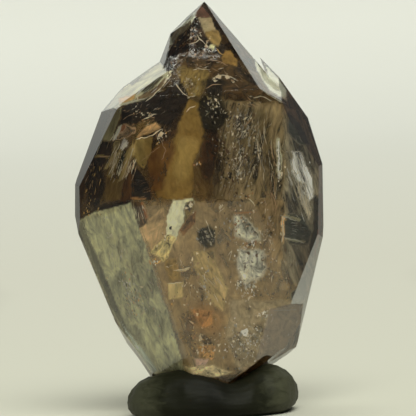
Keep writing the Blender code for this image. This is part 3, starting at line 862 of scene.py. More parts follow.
def mark_finish():
    """Grained marks: the grain brightens and darkens a mark, and opens it in places. Pale threads along the
    grain are painted highlights, drawn like hairline cracks.
    """
    look = Finish("growth_mark_and_painted_light")
    look.plain(Roughness=0.5, Specular_IOR_Level=0.2)
    sources = {}
    for name in ("shade", "grain", "contrast"):
        sources[name] = look.nodes.new("ShaderNodeAttribute")
        sources[name].attribute_name = name
    place = sources["grain"].outputs["Vector"]
    contrast = sources["contrast"].outputs["Fac"]
    fibres = look.noise(place, 0.9, 6.0, 0.62, 1.1)
    cloud = look.noise(place, 0.28, 4.0, 0.6, 0.8)
    swing = look.maths("ADD", look.maths("MULTIPLY", look.maths("SUBTRACT", fibres, 0.49), 3.0),
                       look.maths("MULTIPLY", look.maths("SUBTRACT", cloud, 0.5), 2.6))
    gain = look.maths("ADD", look.maths("MULTIPLY", swing, contrast), 1.0)
    gain = look.maths("MAXIMUM", gain, DARKEST_GRAIN)
    level = look.nodes.new("ShaderNodeCombineColor")
    for socket in level.inputs:
        look.links.new(gain, socket)
    body = look.mix("MULTIPLY", sources["shade"].outputs["Color"], level.outputs["Color"])
    # Painted highlights: thin pale threads where the pattern crosses its middle.
    threads = look.maths("SUBTRACT", look.noise(place, 0.7, 4.0, 0.6, 1.6), 0.5)
    threads = look.maths("ABSOLUTE", threads, 0.0)
    painted_strand_highlight = look.maths("MULTIPLY", look.ramp(threads, (0.0, 1.0), (0.014, 0.0)),
                        look.maths("MULTIPLY", contrast, STRAND_HIGHLIGHT_SHARE))
    look.feed(look.mix("MIX", body, STRAND_HIGHLIGHT_COLOUR, painted_strand_highlight), "Base Color")
    openings = look.ramp(cloud, (0.26, 0.45), (0.44, 1.0))
    look.feed(look.maths("MULTIPLY", sources["shade"].outputs["Alpha"], openings), "Alpha")
    return look.material


growth_and_painted_light = mark_finish()
# Facing, marks, corners, depth below the surface, how crumpled, cells, and how rough the outlines are
MARK_SHEETS = [
    (0, MARKS, [(-18.5, 2.5), (17.6, 2.5), (17.6, 58.0), (-18.5, 58.0)], 0.7, 0.2, (200, 300), 0.4),
    (180, BACK_MARKS, [(-17.6, 2.5), (18.5, 2.5), (18.5, 58.0), (-17.6, 58.0)], 1.2, 0.6, (80, 120), 1.2),
    (-110, SIDE_MARKS, [(-14.5, 5.0), (14.5, 5.0), (14.5, 52.0), (-14.5, 52.0)], 1.4, 0.6, (64, 104), 1.2),
    (110, SIDE_MARKS, [(-14.5, 5.0), (14.5, 5.0), (14.5, 52.0), (-14.5, 52.0)], 1.4, 0.6, (64, 104), 1.2),
]
for index, (facing, marks, corners, depth, crumple, cells, wander) in enumerate(MARK_SHEETS):
    sheet = lay_sheet(f"growth_marks_and_painted_light_{index + 1}", facing, corners, (depth,) * 4, crumple, index + 41,
                      cells, rim_fade=False)
    paint_marks(sheet, facing, marks, wander)
    sheet.data.materials.append(growth_and_painted_light)
    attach(sheet, "root")


# The sparks: specks of trapped air, rust and dust close under the faces, in small clusters along the healed
# cracks, with hair-thin cracks between them. The white, cream and gold specks are painted glints: their
# colour stands in for light flashing off the air in them. The darker specks are the crystal's own.
SPARK_DEPTHS = (0.12, 0.30)
LEAST_SPARK_COVER = 0.04 * MM
CRACK_DEPTH = 0.16
CRACK_STEP = 0.35
LEAST_CRACK_COVER = 0.03 * MM
THINNEST_AT_CRACKS = 1.0 * MM
FAN_SHARE = 0.6
FAN_LENGTH = 0.7
SPARKS = [
    # facing, across, height, spread across and along, slant of the cluster, count, tones
    (0, -13.7, 28.3, 0.41, 0.21, 0.0, 6, "white"),
    (0, -13.4, 26.1, 0.69, 0.35, -60.0, 16, "white cream"),
    (0, -11.4, 23.4, 0.55, 0.55, -30.0, 18, "white cream"),
    (0, -10.6, 17.1, 0.97, 2.76, 14.0, 190, "white white cream gold grey dark"),
    (0, -10.9, 19.0, 0.55, 0.55, 0.0, 20, "white"),
    (0, -9.0, 15.2, 0.41, 0.55, -40.0, 10, "white"),
    (0, -7.4, 22.2, 0.55, 0.35, 0.0, 16, "gold white"),
    (0, -9.5, 16.9, 0.41, 0.41, 0.0, 10, "gold cream"),
    (0, -5.0, 16.0, 0.14, 0.14, 0.0, 5, "gold rust"),
    (0, -16.0, 30.7, 0.35, 1.1, -10.0, 26, "gold brown dark"),
    (0, -16.3, 29.2, 0.35, 0.41, 0.0, 10, "gold cream"),
    (0, -14.4, 28.9, 1.1, 0.28, -70.0, 16, "dark cream gold"),
    (0, -0.5, 35.5, 0.55, 0.17, 0.0, 12, "gold rust white"),
    (0, 10.8, 34.7, 0.21, 2.21, 0.0, 56, "white cream"),
    (0, 14.1, 32.1, 1.1, 3.04, 16.0, 170, "white white cream"),
    (0, 10.9, 26.2, 0.28, 1.24, 0.0, 22, "cream gold"),
    (0, 6.2, 30.5, 0.69, 0.22, 30.0, 12, "cream rust dark"),
    (0, 8.3, 29.7, 0.55, 0.17, 20.0, 10, "cream rust dark"),
    (0, 2.5, 29.3, 0.41, 0.28, 0.0, 8, "cream"),
    (0, 6.2, 23.8, 1.38, 0.48, 0.0, 60, "cream dark rust white"),
    (0, 5.8, 21.5, 1.24, 1.1, 0.0, 60, "white grey brown"),
    (0, 5.9, 17.9, 1.52, 1.38, 0.0, 60, "white cream grey"),
    (0, 4.6, 18.7, 0.41, 0.28, 40.0, 10, "white"),
    (0, -1.9, 29.4, 0.48, 0.69, 20.0, 34, "dark brown cream"),
    (0, -4.6, 26.7, 0.08, 0.08, 0.0, 4, "dark"),
    (0, -5.3, 25.4, 0.55, 0.55, 0.0, 14, "dark cream"),
    (0, 4.9, 10.7, 2.76, 2.21, 0.0, 210, "white cream grey brown"),
    (0, -0.7, 10.3, 1.93, 1.79, 0.0, 90, "cream rust gold brown"),
    (0, 7.8, 14.0, 1.24, 0.83, 0.0, 40, "white cream"),
    (0, 12.6, 15.2, 0.21, 0.35, 0.0, 6, "white"),
    (0, 3.2, 47.3, 0.41, 0.1, -70.0, 12, "cream"),
    (0, 4.3, 47.3, 0.55, 0.08, 90.0, 14, "cream tan"),
    (0, 5.2, 46.8, 0.41, 0.12, 55.0, 12, "cream tan"),
    (0, 2.5, 47.0, 0.35, 0.12, -50.0, 9, "cream"),
    (0, -0.5, 53.6, 0.83, 1.1, -40.0, 80, "cream dark dark tan rust"),
    (0, -1.8, 51.8, 0.69, 0.83, -40.0, 60, "dark dark cream tan rust"),
    (0, 1.6, 51.7, 1.38, 0.14, 62.0, 34, "cream rust tan"),
    (0, 0.1, 50.0, 1.66, 0.97, 20.0, 60, "brown dark tan"),
    (0, -1.2, 46.5, 1.1, 1.1, -40.0, 60, "cream olive brown"),
    (0, 2.0, 44.1, 1.1, 1.1, 0.0, 50, "dark cream olive"),
    (0, 5.1, 41.2, 1.66, 1.66, -25.0, 150, "cream grey dark brown"),
    (0, 5.5, 35.6, 1.93, 3.86, -12.0, 280, "cream grey dark brown"),
    (0, 3.0, 37.1, 0.97, 3.45, 8.0, 90, "dark cream brown"),
    (0, -5.4, 39.2, 0.41, 0.97, -30.0, 34, "cream dark gold"),
    (0, -7.7, 42.9, 1.66, 0.97, -55.0, 40, "tan brown cream"),
    (0, 0.4, 25.4, 0.97, 1.1, 30.0, 60, "cream dark grey"),
    (0, 7.7, 36.9, 0.28, 3.04, 2.0, 60, "dark dark grey"),
    (0, 6.8, 40.0, 0.17, 2.48, 0.0, 40, "dark grey"),
    (0, -11.4, 36.5, 0.69, 1.93, -25.0, 50, "cream dark tan"),
    (0, 5.0, 26.7, 2.21, 2.21, 0.0, 110, "cream grey rust brown"),
    (0, 8.9, 23.0, 0.83, 5.52, 0.0, 130, "cream tan grey brown"),
    (0, -7.9, 18.3, 1.93, 5.52, 14.0, 110, "grey cream tan"),
    (0, -1.0, 18.0, 3.59, 3.59, 0.0, 150, "tan cream grey brown"),
    (0, 11.8, 20.1, 0.83, 4.14, -6.0, 70, "cream grey brown tan"),
]
CRACKS = [
    # width, tone, then the points (across, height)
    (0.26, "white", [(-2.5, 52.9), (-3.2, 52.0), (-4.0, 51.0)]),
    (0.2, "white", [(-3.4, 50.6), (-3.8, 49.6)]),
    (0.17, "cream", [(2.3, 47.0), (2.9, 47.4), (3.6, 47.5), (4.4, 47.3), (5.2, 47.0), (5.7, 46.5)]),
    (0.15, "cream", [(0.4, 53.4), (0.8, 52.7), (1.5, 52.0), (2.0, 51.5)]),
    (0.15, "gold", [(3.0, 51.3), (3.3, 50.8), (3.7, 50.4), (4.0, 50.3)]),
    (0.16, "cream", [(-0.4, 53.1), (-0.8, 52.7), (-1.1, 52.3)]),
    (0.14, "tan", [(-2.3, 51.6), (-1.6, 52.1), (-0.9, 52.0), (-0.0, 52.2)]),
    (0.14, "cream", [(0.8, 52.7), (0.2, 52.2), (-0.6, 52.0), (-1.2, 51.7)]),
    (0.2, "cream", [(-3.3, 48.1), (-4.2, 47.0), (-5.3, 45.9), (-6.5, 44.8), (-7.2, 44.4)]),
    (0.24, "white", [(-5.4, 47.7), (-6.4, 47.0), (-7.5, 46.1), (-8.5, 45.3)]),
    (0.18, "cream", [(-8.3, 45.6), (-8.3, 44.5)]),
    (0.3, "white", [(-12.1, 43.3), (-11.2, 43.8), (-10.5, 44.1)]),
    (0.2, "white", [(-11.8, 43.6), (-11.1, 44.2)]),
    (0.26, "pale", [(-10.7, 44.1), (-9.6, 44.3), (-8.4, 44.6), (-7.2, 44.9)]),
    (0.34, "white", [(-10.8, 41.0), (-11.3, 40.1), (-11.9, 39.2)]),
    (0.12, "tan", [(-10.5, 42.0), (-9.7, 42.5), (-8.8, 42.8)]),
    (0.15, "cream", [(-7.5, 42.0), (-6.6, 42.3), (-5.8, 42.6)]),
    (0.2, "cream", [(-8.7, 39.3), (-7.5, 39.4), (-6.4, 39.7), (-5.2, 40.5)]),
    (0.13, "cream", [(-11.0, 38.8), (-11.9, 37.1), (-12.8, 35.5)]),
    (0.22, "white", [(-10.1, 39.2), (-10.4, 38.4), (-10.9, 37.7)]),
    (0.15, "cream", [(-9.2, 38.1), (-10.0, 36.0), (-11.1, 33.7)]),
    (0.13, "cream", [(-11.5, 37.2), (-12.2, 35.6), (-12.9, 34.4)]),
    (0.18, "tan", [(-14.4, 37.0), (-12.7, 37.0)]),
    (0.12, "tan", [(-8.2, 36.2), (-6.9, 37.1), (-5.5, 38.1)]),
    (0.14, "cream", [(-4.6, 20.8), (-3.3, 20.9), (-2.2, 21.2)]),
    (0.12, "cream", [(0.3, 27.7), (0.7, 26.5), (1.2, 25.1)]),
    (0.13, "rust", [(4.5, 28.3), (5.9, 28.5), (7.4, 28.3)]),
    (0.17, "cream", [(6.3, 30.3), (6.8, 29.9), (7.3, 29.2)]),
    (0.2, "dark", [(5.8, 30.8), (6.3, 30.5)]),
    (0.18, "dark", [(8.2, 29.5), (8.7, 29.8)]),
    (0.3, "white", [(11.0, 38.1), (10.9, 35.3), (10.7, 33.7)]),
    (0.26, "pale", [(10.7, 27.7), (11.9, 27.2), (13.1, 26.6)]),
    (0.22, "pale", [(11.0, 24.5), (12.5, 24.1), (13.9, 23.4)]),
    (0.13, "tan", [(9.5, 31.0), (10.0, 29.9), (10.2, 28.7), (9.9, 27.5)]),
    (0.32, "cream", [(11.1, 27.6), (10.9, 26.4), (11.0, 25.1), (10.7, 24.0)]),
    (0.12, "pale", [(8.8, 14.4), (10.7, 14.2), (12.5, 13.9)]),
    (0.13, "tan", [(-5.4, 39.1), (-4.7, 37.5), (-5.3, 36.2)]),
    (0.12, "rust", [(-8.4, 30.5), (-7.8, 28.8), (-7.4, 27.7)]),
    (0.16, "cream", [(-1.6, 42.6), (-1.1, 43.2), (-0.2, 43.4)]),
    (0.14, "cream", [(-2.8, 46.6), (-2.0, 45.4), (-1.1, 44.7), (-0.1, 44.8)]),
    (0.14, "tan", [(1.2, 45.8), (2.4, 46.3), (3.5, 46.2)]),
    (0.1, "tan", [(1.4, 49.7), (2.3, 49.7), (3.4, 49.4), (4.5, 48.7)]),
    (0.12, "cream", [(-0.4, 48.4), (0.6, 48.6), (1.7, 48.3)]),
    (0.13, "pale", [(7.7, 44.1), (8.9, 44.3), (10.3, 43.5)]),
    (0.2, "pale", [(9.0, 45.1), (10.7, 43.9), (12.3, 43.0)]),
    (0.13, "cream", [(-5.4, 19.0), (-3.4, 19.1)]),
    (0.2, "gold", [(-7.3, 22.2), (-6.6, 21.9), (-6.2, 22.4)]),
    (0.2, "cream", [(-9.6, 14.4), (-8.8, 15.2)]),
    (0.12, "cream", [(3.1, 22.5), (3.7, 23.3), (3.2, 21.6)]),
]
CRACK_FANS = [
    # across, height, spread across and in height, slant and its swing, shortest, longest, width, count, tones
    (13.0, 32.7, 0.83, 2.21, 17.0, 5.0, 0.69, 4.14, 0.11, 70, "white white cream grey"),
    (14.3, 30.2, 0.69, 1.93, 14.0, 5.0, 0.55, 2.76, 0.1, 34, "white cream"),
    (6.5, 40.0, 1.93, 1.66, -34.0, 16.0, 0.41, 1.93, 0.08, 120, "cream grey dark tan"),
    (5.4, 34.9, 1.66, 2.76, -20.0, 14.0, 0.41, 2.21, 0.08, 150, "cream grey dark brown"),
    (8.6, 38.2, 0.83, 3.59, 3.0, 5.0, 0.83, 4.14, 0.09, 60, "dark dark grey cream"),
    (9.8, 34.0, 0.55, 3.86, 2.0, 6.0, 0.69, 3.31, 0.09, 60, "tan cream dark"),
    (3.3, 31.6, 1.1, 1.93, -30.0, 22.0, 0.41, 1.66, 0.08, 50, "tan cream brown"),
    (6.3, 25.6, 1.93, 1.1, 30.0, 40.0, 0.28, 1.1, 0.08, 70, "cream rust grey white"),
    (5.9, 18.3, 1.38, 1.93, 10.0, 30.0, 0.28, 1.24, 0.09, 80, "white cream grey"),
    (-11.0, 16.3, 0.97, 2.48, 28.0, 22.0, 0.28, 1.24, 0.1, 130, "white white cream grey dark"),
    (-12.4, 22.4, 1.38, 1.93, 12.0, 18.0, 0.41, 1.93, 0.09, 50, "cream grey white"),
    (-12.2, 36.5, 1.1, 2.21, -24.0, 4.0, 1.1, 3.59, 0.1, 46, "cream cream tan dark"),
    (-10.0, 35.3, 0.69, 1.66, -22.0, 4.0, 1.1, 3.31, 0.11, 30, "cream tan"),
    (-7.8, 46.8, 2.48, 1.1, -60.0, 4.0, 1.1, 4.14, 0.1, 70, "cream grey white dark brown"),
    (-5.7, 46.7, 1.38, 0.83, -52.0, 5.0, 0.69, 2.48, 0.09, 40, "white grey brown"),
    (-1.3, 54.5, 0.55, 1.38, -43.0, 4.0, 0.69, 2.48, 0.1, 36, "white grey pale"),
    (-0.3, 53.0, 0.97, 0.97, -40.0, 50.0, 0.28, 0.97, 0.11, 60, "cream dark tan rust"),
    (-3.8, 49.6, 0.69, 0.97, -50.0, 30.0, 0.28, 1.1, 0.11, 50, "cream dark rust white"),
    (1.3, 48.8, 1.93, 0.69, 80.0, 16.0, 0.41, 1.66, 0.07, 50, "tan brown cream"),
    (-0.9, 46.2, 1.1, 0.97, -30.0, 30.0, 0.41, 1.38, 0.07, 60, "cream olive brown"),
    (5.8, 47.5, 1.38, 1.1, 50.0, 20.0, 0.41, 1.38, 0.08, 50, "dark tan brown"),
    (2.1, 42.7, 1.1, 1.38, 20.0, 40.0, 0.28, 1.1, 0.08, 60, "cream dark olive"),
    (-8.0, 43.0, 1.66, 1.1, -40.0, 24.0, 0.41, 1.38, 0.08, 40, "tan brown cream"),
    (-4.7, 40.3, 1.1, 1.38, -35.0, 20.0, 0.41, 1.66, 0.08, 40, "brown dark tan"),
    (-7.7, 32.4, 0.97, 0.83, -86.0, 6.0, 0.55, 1.66, 0.07, 30, "brown tan dark"),
    (-15.1, 33.9, 0.83, 2.76, -18.0, 10.0, 0.41, 1.66, 0.1, 60, "gold brown dark tan"),
    (-8.4, 29.2, 0.41, 1.1, 14.0, 6.0, 0.83, 2.21, 0.1, 30, "dark brown rust cream"),
    (0.1, 25.1, 1.1, 1.1, 30.0, 40.0, 0.41, 1.38, 0.08, 50, "cream dark grey"),
    (0.5, 19.3, 2.21, 2.48, 26.0, 14.0, 0.55, 2.48, 0.08, 60, "cream tan pale"),
    (-3.6, 21.6, 1.38, 1.38, -50.0, 40.0, 0.28, 1.1, 0.08, 40, "brown cream tan"),
    (-1.4, 10.4, 2.21, 1.93, 0.0, 60.0, 0.28, 0.97, 0.09, 90, "cream rust gold brown"),
    (5.5, 10.0, 2.48, 1.93, 0.0, 60.0, 0.28, 0.97, 0.09, 130, "white cream grey"),
    (7.3, 43.8, 1.1, 0.69, 60.0, 30.0, 0.41, 1.24, 0.09, 30, "tan dark cream"),
    (14.4, 39.3, 0.97, 2.21, 20.0, 8.0, 0.55, 2.21, 0.09, 40, "cream dark grey"),
    (12.7, 25.8, 1.1, 1.66, 74.0, 10.0, 0.41, 1.93, 0.09, 40, "grey pale dark"),
    (9.0, 24.4, 0.69, 5.52, 2.0, 14.0, 0.41, 1.93, 0.09, 80, "cream tan grey rust"),
]
SPARKS_ROUND = [
    (180, 4.0, 36.0, 4.0, 7.0, -14.0, 240, "cream dark brown grey tan"),
    (180, -5.0, 20.0, 5.0, 6.0, 12.0, 300, "white cream grey tan rust"),
    (110, 0.0, 36.0, 5.0, 7.0, 10.0, 220, "cream white dark brown grey"),
    (110, 0.0, 19.0, 4.0, 6.0, -10.0, 220, "white cream grey tan"),
    (-110, 0.0, 36.0, 5.0, 7.0, -20.0, 220, "cream dark brown tan"),
    (-110, 0.0, 19.0, 4.0, 6.0, 10.0, 240, "white cream grey tan gold"),
]
# On the specks, white, cream and gold are painted glints. The other tones, and all tones on the cracks, are
# their own colours.
TONES = {
    "dark": (0.020, 0.013, 0.007), "brown": (0.12, 0.065, 0.027), "tan": (0.50, 0.32, 0.17),
    "olive": (0.34, 0.27, 0.12), "cream": (0.92, 0.82, 0.62), "white": (0.97, 0.95, 0.90),
    "rust": (0.42, 0.22, 0.09), "gold": (0.90, 0.56, 0.16), "grey": (0.42, 0.40, 0.34),
    "pale": (0.66, 0.64, 0.52),
}


def depth_under(point):
    """How far a point lies under the crystal's nearest face."""
    spot, out, _, _ = surface.find_nearest(point)
    return (spot - point).dot(out)


points, corners, shades = [], [], []
for facing, across, height, wide, tall, slant, count, tones in SPARKS + SPARKS_ROUND:
    lean = math.radians(slant)
    along, sideways = np.array((-math.sin(lean), math.cos(lean))), np.array((math.cos(lean), math.sin(lean)))
    tones = tones.split()
    for _ in range(count):
        lengthwise = along * chance.normal(0.0, tall * CLUSTER_SPREAD)
        crosswise = sideways * chance.normal(0.0, wide * CLUSTER_SPREAD)
        a, h = np.array((across, height)) + lengthwise + crosswise
        down = chance.uniform(*SPARK_DEPTHS) * MM
        size = (0.07 + chance.gamma(1.6, 0.085)) * MM
        turned = lean + chance.normal(0.0, 0.5)
        tilt = chance.normal(0.0, 0.25, 2)
        count_of_sides = chance.randint(3, 6)
        turns = np.arange(count_of_sides) + chance.uniform(-0.3, 0.3, count_of_sides)
        angles = turns * 2 * math.pi / count_of_sides
        reach = chance.uniform(0.55, 1.0, count_of_sides)
        slim = chance.uniform(0.25, 0.8)
        tone = TONES[tones[chance.randint(len(tones))]]
        bright = chance.uniform(0.75, 1.1)
        hit, thick = skin(facing, a, h)
        if hit is None or thick < THINNEST:
            continue
        out = surface.find_nearest(hit)[1]
        side = Vector((0.0, 0.0, 1.0)).cross(out).normalized()
        rise = out.cross(side)
        middle = hit - out * down
        long_way = rise * math.cos(turned) - side * math.sin(turned) - out * tilt[0]
        short_way = side * math.cos(turned) + rise * math.sin(turned) - out * tilt[1]
        outline = [middle + (long_way * math.cos(t) + short_way * math.sin(t) * slim) * size * r
                   for t, r in zip(angles, reach)]
        if any(depth_under(point) < LEAST_SPARK_COVER for point in outline):
            continue
        corners.append(tuple(range(len(points), len(points) + count_of_sides)))
        points.extend(outline)
        shades.extend([(*[min(c * bright, 1.0) for c in tone], 1.0)] * count_of_sides)
for across, height, wide, tall, slant, swing, least, most, width, count, tones in CRACK_FANS:
    tones = tones.split()
    for _ in range(int(count * FAN_SHARE)):
        lean = math.radians(slant + chance.normal(0.0, swing))
        length = chance.uniform(least, most) * FAN_LENGTH
        a = across + chance.normal(0.0, wide * CLUSTER_SPREAD)
        h = height + chance.normal(0.0, tall * CLUSTER_SPREAD)
        middle = np.array((a, h))
        step = np.array((-math.sin(lean), math.cos(lean))) * length / 2
        bow = np.array((step[1], -step[0])) * chance.normal(0.0, 0.03)
        thin = width * chance.uniform(0.4, 1.4)
        tone = tones[chance.randint(len(tones))]
        CRACKS.append((thin, tone, [middle - step, middle + bow, middle + step]))
for width, tone, line in CRACKS:
    line = np.array(line, float)
    lengths = np.concatenate(([0.0], np.cumsum(np.linalg.norm(np.diff(line, axis=0), axis=1))))
    places = np.linspace(0.0, lengths[-1], max(3, int(lengths[-1] / CRACK_STEP) + 1))
    path = np.column_stack((np.interp(places, lengths, line[:, 0]), np.interp(places, lengths, line[:, 1])))
    path += chance.normal(0.0, 0.035, path.shape)
    way = np.gradient(path, axis=0)
    way /= np.maximum(np.linalg.norm(way, axis=1)[:, None], 1e-9)
    taper = np.minimum(1.0, 0.25 + np.minimum(places, places[-1] - places) / 0.3)
    halves = width * 0.5 * chance.uniform(0.35, 1.0, len(path)) * taper
    bright = chance.uniform(0.75, 1.1)
    colour = (*[min(c * bright, 1.0) for c in TONES[tone]], 1.0)
    before = None
    for (x, z), (wx, wz), half in zip(path, way, halves):
        pair = []
        for sign in (-1.0, 1.0):
            hit, thick = skin(0, x - sign * wz * half, z + sign * wx * half)
            if hit is None or thick < THINNEST_AT_CRACKS:
                break
            pair.append(hit - surface.find_nearest(hit)[1] * CRACK_DEPTH * MM)
        if len(pair) == 2 and all(depth_under(point) > LEAST_CRACK_COVER for point in pair):
            start = len(points)
            points.extend(pair)
            shades.extend([colour] * 2)
            if before is not None:
                corners.append((before, start, start + 1, before + 1))
            before = start
        else:
            before = None
sparks = piece_of("sparks", points, corners)
tints = sparks.data.attributes.new("shade", "FLOAT_COLOR", "POINT")
tints.data.foreach_set("color", [value for shade in shades for value in shade])
spark = Finish("spark")
spark.plain(Roughness=0.35)
spark.feed(spark.attribute("shade"), "Base Color")
sparks.data.materials.append(spark.material)
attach(sparks, "root")


# The putty: a lump of soft grey-green mounting putty, rolled and pressed down by hand. It grips the
# crystal's foot and stands flat on its own underside.
PUTTY_CELL = 0.5 * MM
FINGER_MARKS = [
    # across, front to back, height, reach and depth, in millimetres
    (-9.5, -9.0, 4.0, 2.6, 0.30), (-5.5, -11.5, 3.4, 2.2, 0.35), (-1.5, -11.8, 4.4, 2.4, 0.30),
    (3.0, -11.0, 3.0, 2.6, 0.35), (7.5, -9.5, 4.6, 2.2, 0.30), (10.8, -6.0, 3.0, 2.0, 0.28),
    (-11.5, -3.0, 3.4, 2.4, 0.30), (-9.0, 7.0, 3.0, 2.6, 0.30), (0.0, 9.8, 3.6, 2.8, 0.35),
    (8.5, 7.0, 3.2, 2.6, 0.30),
]
# Heights of the flat underside, which stays as it is, and where the relief is at its full depth
UNDERSIDE_TOP = 0.02
RELIEF_FROM = 0.8
DEEPEST_MARK = 0.5
putty = copy_of_node("putty_stand", "pressed_putty")
cut_into_cells(putty, PUTTY_CELL)
smooth_way = {v.index: v.normal.copy() for v in putty.data.vertices}
for vertex in putty.data.vertices:
    spot = vertex.co / MM
    if spot.z < UNDERSIDE_TOP:
        continue
    sink = 0.10 * (0.5 + 0.5 * noise.fractal(spot * 0.55, 1.0, 2.0, 4))
    sink += 0.05 * max(0.0, noise.fractal(Vector((spot.x * 0.5, spot.y * 0.5, spot.z * 2.6)), 1.0, 2.0, 3))
    for x, y, z, reach, depth in FINGER_MARKS:
        away = (spot - Vector((x, y, z))).length / reach
        if away < 1.0:
            sink += depth * (1.0 - away * away) ** 2
    sink = min(max(sink, 0.0), DEEPEST_MARK)
    vertex.co = vertex.co - smooth_way[vertex.index] * sink * MM * min(1.0, spot.z / RELIEF_FROM)
putty_finish = Finish("mounting_putty")
putty_finish.plain(Roughness=0.6, Specular_IOR_Level=0.15)
apart = putty_finish.nodes.new("ShaderNodeSeparateXYZ")
putty_finish.links.new(putty_finish.stretched((1.0, 1.0, 1.0)), apart.inputs["Vector"])
# Painted shade and light: the putty's colour is darkest in the middle, where the crystal shades it, and
# lighter towards its ends. The kneaded pattern adds uneven tone of its own.
off_middle_for_painted_shade = putty_finish.maths("ABSOLUTE", apart.outputs["X"], 0.0)
kneaded = putty_finish.noise(putty_finish.stretched((0.35, 0.35, 0.9), (0.0, 16.0, 0.0)), 1.0, 5.0, 0.62, 0.8)
reach = putty_finish.maths("ADD", putty_finish.maths("MULTIPLY", off_middle_for_painted_shade, 0.075),
                           putty_finish.maths("MULTIPLY", kneaded, 0.5))
putty_finish.feed(putty_finish.ramp(reach, (0.25, (0.003, 0.003, 0.001)), (0.75, (0.008, 0.0085, 0.003)),
                                    (1.0, (0.055, 0.056, 0.034))), "Base Color")
streaky = putty_finish.noise(putty_finish.stretched((0.5, 0.5, 3.0), (0.0, 10.0, 0.0)), 1.0, 6.0, 0.65, 0.5)
putty_finish.bump(streaky, 0.5, 0.12 * MM)
putty.data.materials.append(putty_finish.material)
make_active(putty)
bpy.ops.object.shade_smooth()
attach(putty, "root")
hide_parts("putty_stand")


# The camera: level with the crystal and far off, with a long lens, turned a little on its axis.
CAMERA_AIM = Vector((0.7, 0.0, 28.8)) * MM
CAMERA_DISTANCE = 600.0 * MM
CAMERA_RISE = math.radians(2.0)
CAMERA_ROLL = math.radians(3.0)
CAMERA_LENS = 368.2
back = Vector((0.0, -math.cos(CAMERA_RISE), math.sin(CAMERA_RISE)))
right = Vector((1.0, 0.0, 0.0))
up = right.cross(-back)
rolled_right = right * math.cos(CAMERA_ROLL) - up * math.sin(CAMERA_ROLL)
rolled_up = right * math.sin(CAMERA_ROLL) + up * math.cos(CAMERA_ROLL)
camera = bpy.data.objects.new("camera", bpy.data.cameras.new("camera"))
bpy.context.scene.collection.objects.link(camera)
camera.data.sensor_width = 36.0
camera.data.lens = CAMERA_LENS
camera.data.clip_start = 0.01
turn = Matrix((rolled_right, rolled_up, back)).transposed().to_4x4()
camera.matrix_world = Matrix.Translation(CAMERA_AIM + back * CAMERA_DISTANCE) @ turn
bpy.context.scene.camera = camera


# The floor: one wide pale sweep that rises all round, far behind the camera. Its colour is painted to change
# a little with distance, for the fall of light across it, and much darker towards the sides: painted light
# and shade.
# Radius and height of each of its rings, in metres
SWEEP = [(0.02, 0.0), (0.08, 0.0), (0.2, 0.0), (0.5, 0.0), (1.0, 0.0), (1.6, 0.0), (1.9, 0.005),
         (2.1, 0.03), (2.25, 0.08), (2.3, 0.13), (2.32, 0.2)]
TURNS = 96
BELOW_PUTTY = 0.0002
SWEEP_REACH = 2.4
LEAST_REACH = 0.35
rings = [[(r * math.cos(2 * math.pi * i / TURNS), r * math.sin(2 * math.pi * i / TURNS), h - BELOW_PUTTY)
          for i in range(TURNS)] for r, h in SWEEP]
flat = [p for ring in rings for p in ring]
sides = [tuple(range(TURNS))]
for ring in range(len(rings) - 1):
    for i in range(TURNS):
        j = (i + 1) % TURNS
        sides.append((ring * TURNS + i, (ring + 1) * TURNS + i, (ring + 1) * TURNS + j, ring * TURNS + j))
floor = piece_of("pale_sweep", flat, sides)
for face in floor.data.polygons:
    face.use_smooth = True
sweep = Finish("pale_sweep")
matt = sweep.nodes.new("ShaderNodeBsdfDiffuse")
reach = sweep.nodes.new("ShaderNodeVectorMath")
reach.operation = "LENGTH"
sweep.links.new(sweep.place, reach.inputs[0])
# Painted light: the tone changes a little with distance, standing in for the fall of light across the sweep.
far = sweep.maths("DIVIDE", reach.outputs["Value"], SWEEP_REACH)
tone = sweep.ramp(sweep.maths("POWER", far, 0.35), (0.0, (0.57, 0.565, 0.48)), (0.55, (0.555, 0.545, 0.49)),
                  (1.0, (0.59, 0.59, 0.57)))
apart = sweep.nodes.new("ShaderNodeSeparateXYZ")
sweep.links.new(sweep.place, apart.inputs["Vector"])
# Painted shade: the sweep is made much darker towards the sides.
off_axis = sweep.maths("ABSOLUTE", apart.outputs["X"], 0.0)
aside = sweep.maths("DIVIDE", off_axis, sweep.maths("MAXIMUM", reach.outputs["Value"], LEAST_REACH))
painted_side_shade = sweep.ramp(aside, (0.12, 1.0), (0.36, 0.30))
sweep.links.new(sweep.mix("MULTIPLY", tone, painted_side_shade), matt.inputs["Color"])
sweep.links.new(matt.outputs["BSDF"], sweep.nodes["Material Output"].inputs["Surface"])
floor.data.materials.append(sweep.material)


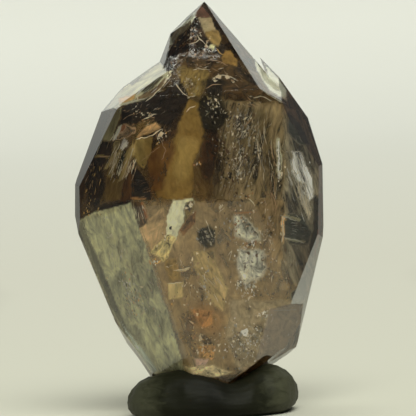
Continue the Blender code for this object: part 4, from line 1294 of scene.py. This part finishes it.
# The light: a soft studio, with the main light high in front, one overhead, two weak ones behind
# and a dim sky.
# Direction of each light, the angles within which it is full and beyond which it is gone, strength
SOFT_BOXES = [
    ((0.1, -0.70, 0.70), 8.0, 24.0, 11.0),
    ((0.0, 0.3, 0.95), 14.0, 24.0, 3.4),
    ((0.46, 0.73, 0.50), 5.0, 13.0, 1.7),
    ((-0.17, 0.96, 0.225), 4.0, 14.0, 0.75),
]
SKY_STRENGTH = 0.08
SKY_COLOUR = (0.98, 1.0, 0.90, 1.0)
world = bpy.data.worlds.new("studio")
bpy.context.scene.world = world
world.use_nodes = True
world_nodes = world.node_tree.nodes
world_links = world.node_tree.links
place = world_nodes.new("ShaderNodeTexCoord").outputs["Generated"]


def soft_box(aim, inner, outer, strength):
    """Brightness of a soft round light in one direction."""
    dot = world_nodes.new("ShaderNodeVectorMath")
    dot.operation = "DOT_PRODUCT"
    dot.inputs[1].default_value = Vector(aim).normalized()
    world_links.new(place, dot.inputs[0])
    span = world_nodes.new("ShaderNodeMapRange")
    span.interpolation_type = "SMOOTHSTEP"
    span.inputs["From Min"].default_value = math.cos(math.radians(outer))
    span.inputs["From Max"].default_value = math.cos(math.radians(inner))
    span.inputs["To Max"].default_value = strength
    world_links.new(dot.outputs["Value"], span.inputs["Value"])
    return span.outputs["Result"]


total = soft_box(*SOFT_BOXES[0])
for box in SOFT_BOXES[1:]:
    add = world_nodes.new("ShaderNodeMath")
    add.operation = "ADD"
    world_links.new(total, add.inputs[0])
    world_links.new(soft_box(*box), add.inputs[1])
    total = add.outputs["Value"]
base = world_nodes.new("ShaderNodeMath")
base.operation = "ADD"
base.inputs[1].default_value = SKY_STRENGTH
world_links.new(total, base.inputs[0])
world_nodes["Background"].inputs["Color"].default_value = SKY_COLOUR
world_links.new(base.outputs["Value"], world_nodes["Background"].inputs["Strength"])

scene = bpy.context.scene
scene.view_settings.view_transform = "Standard"
scene.cycles.max_bounces = 32
scene.cycles.transmission_bounces = 32
scene.cycles.glossy_bounces = 16
scene.cycles.diffuse_bounces = 6
scene.cycles.transparent_max_bounces = 48
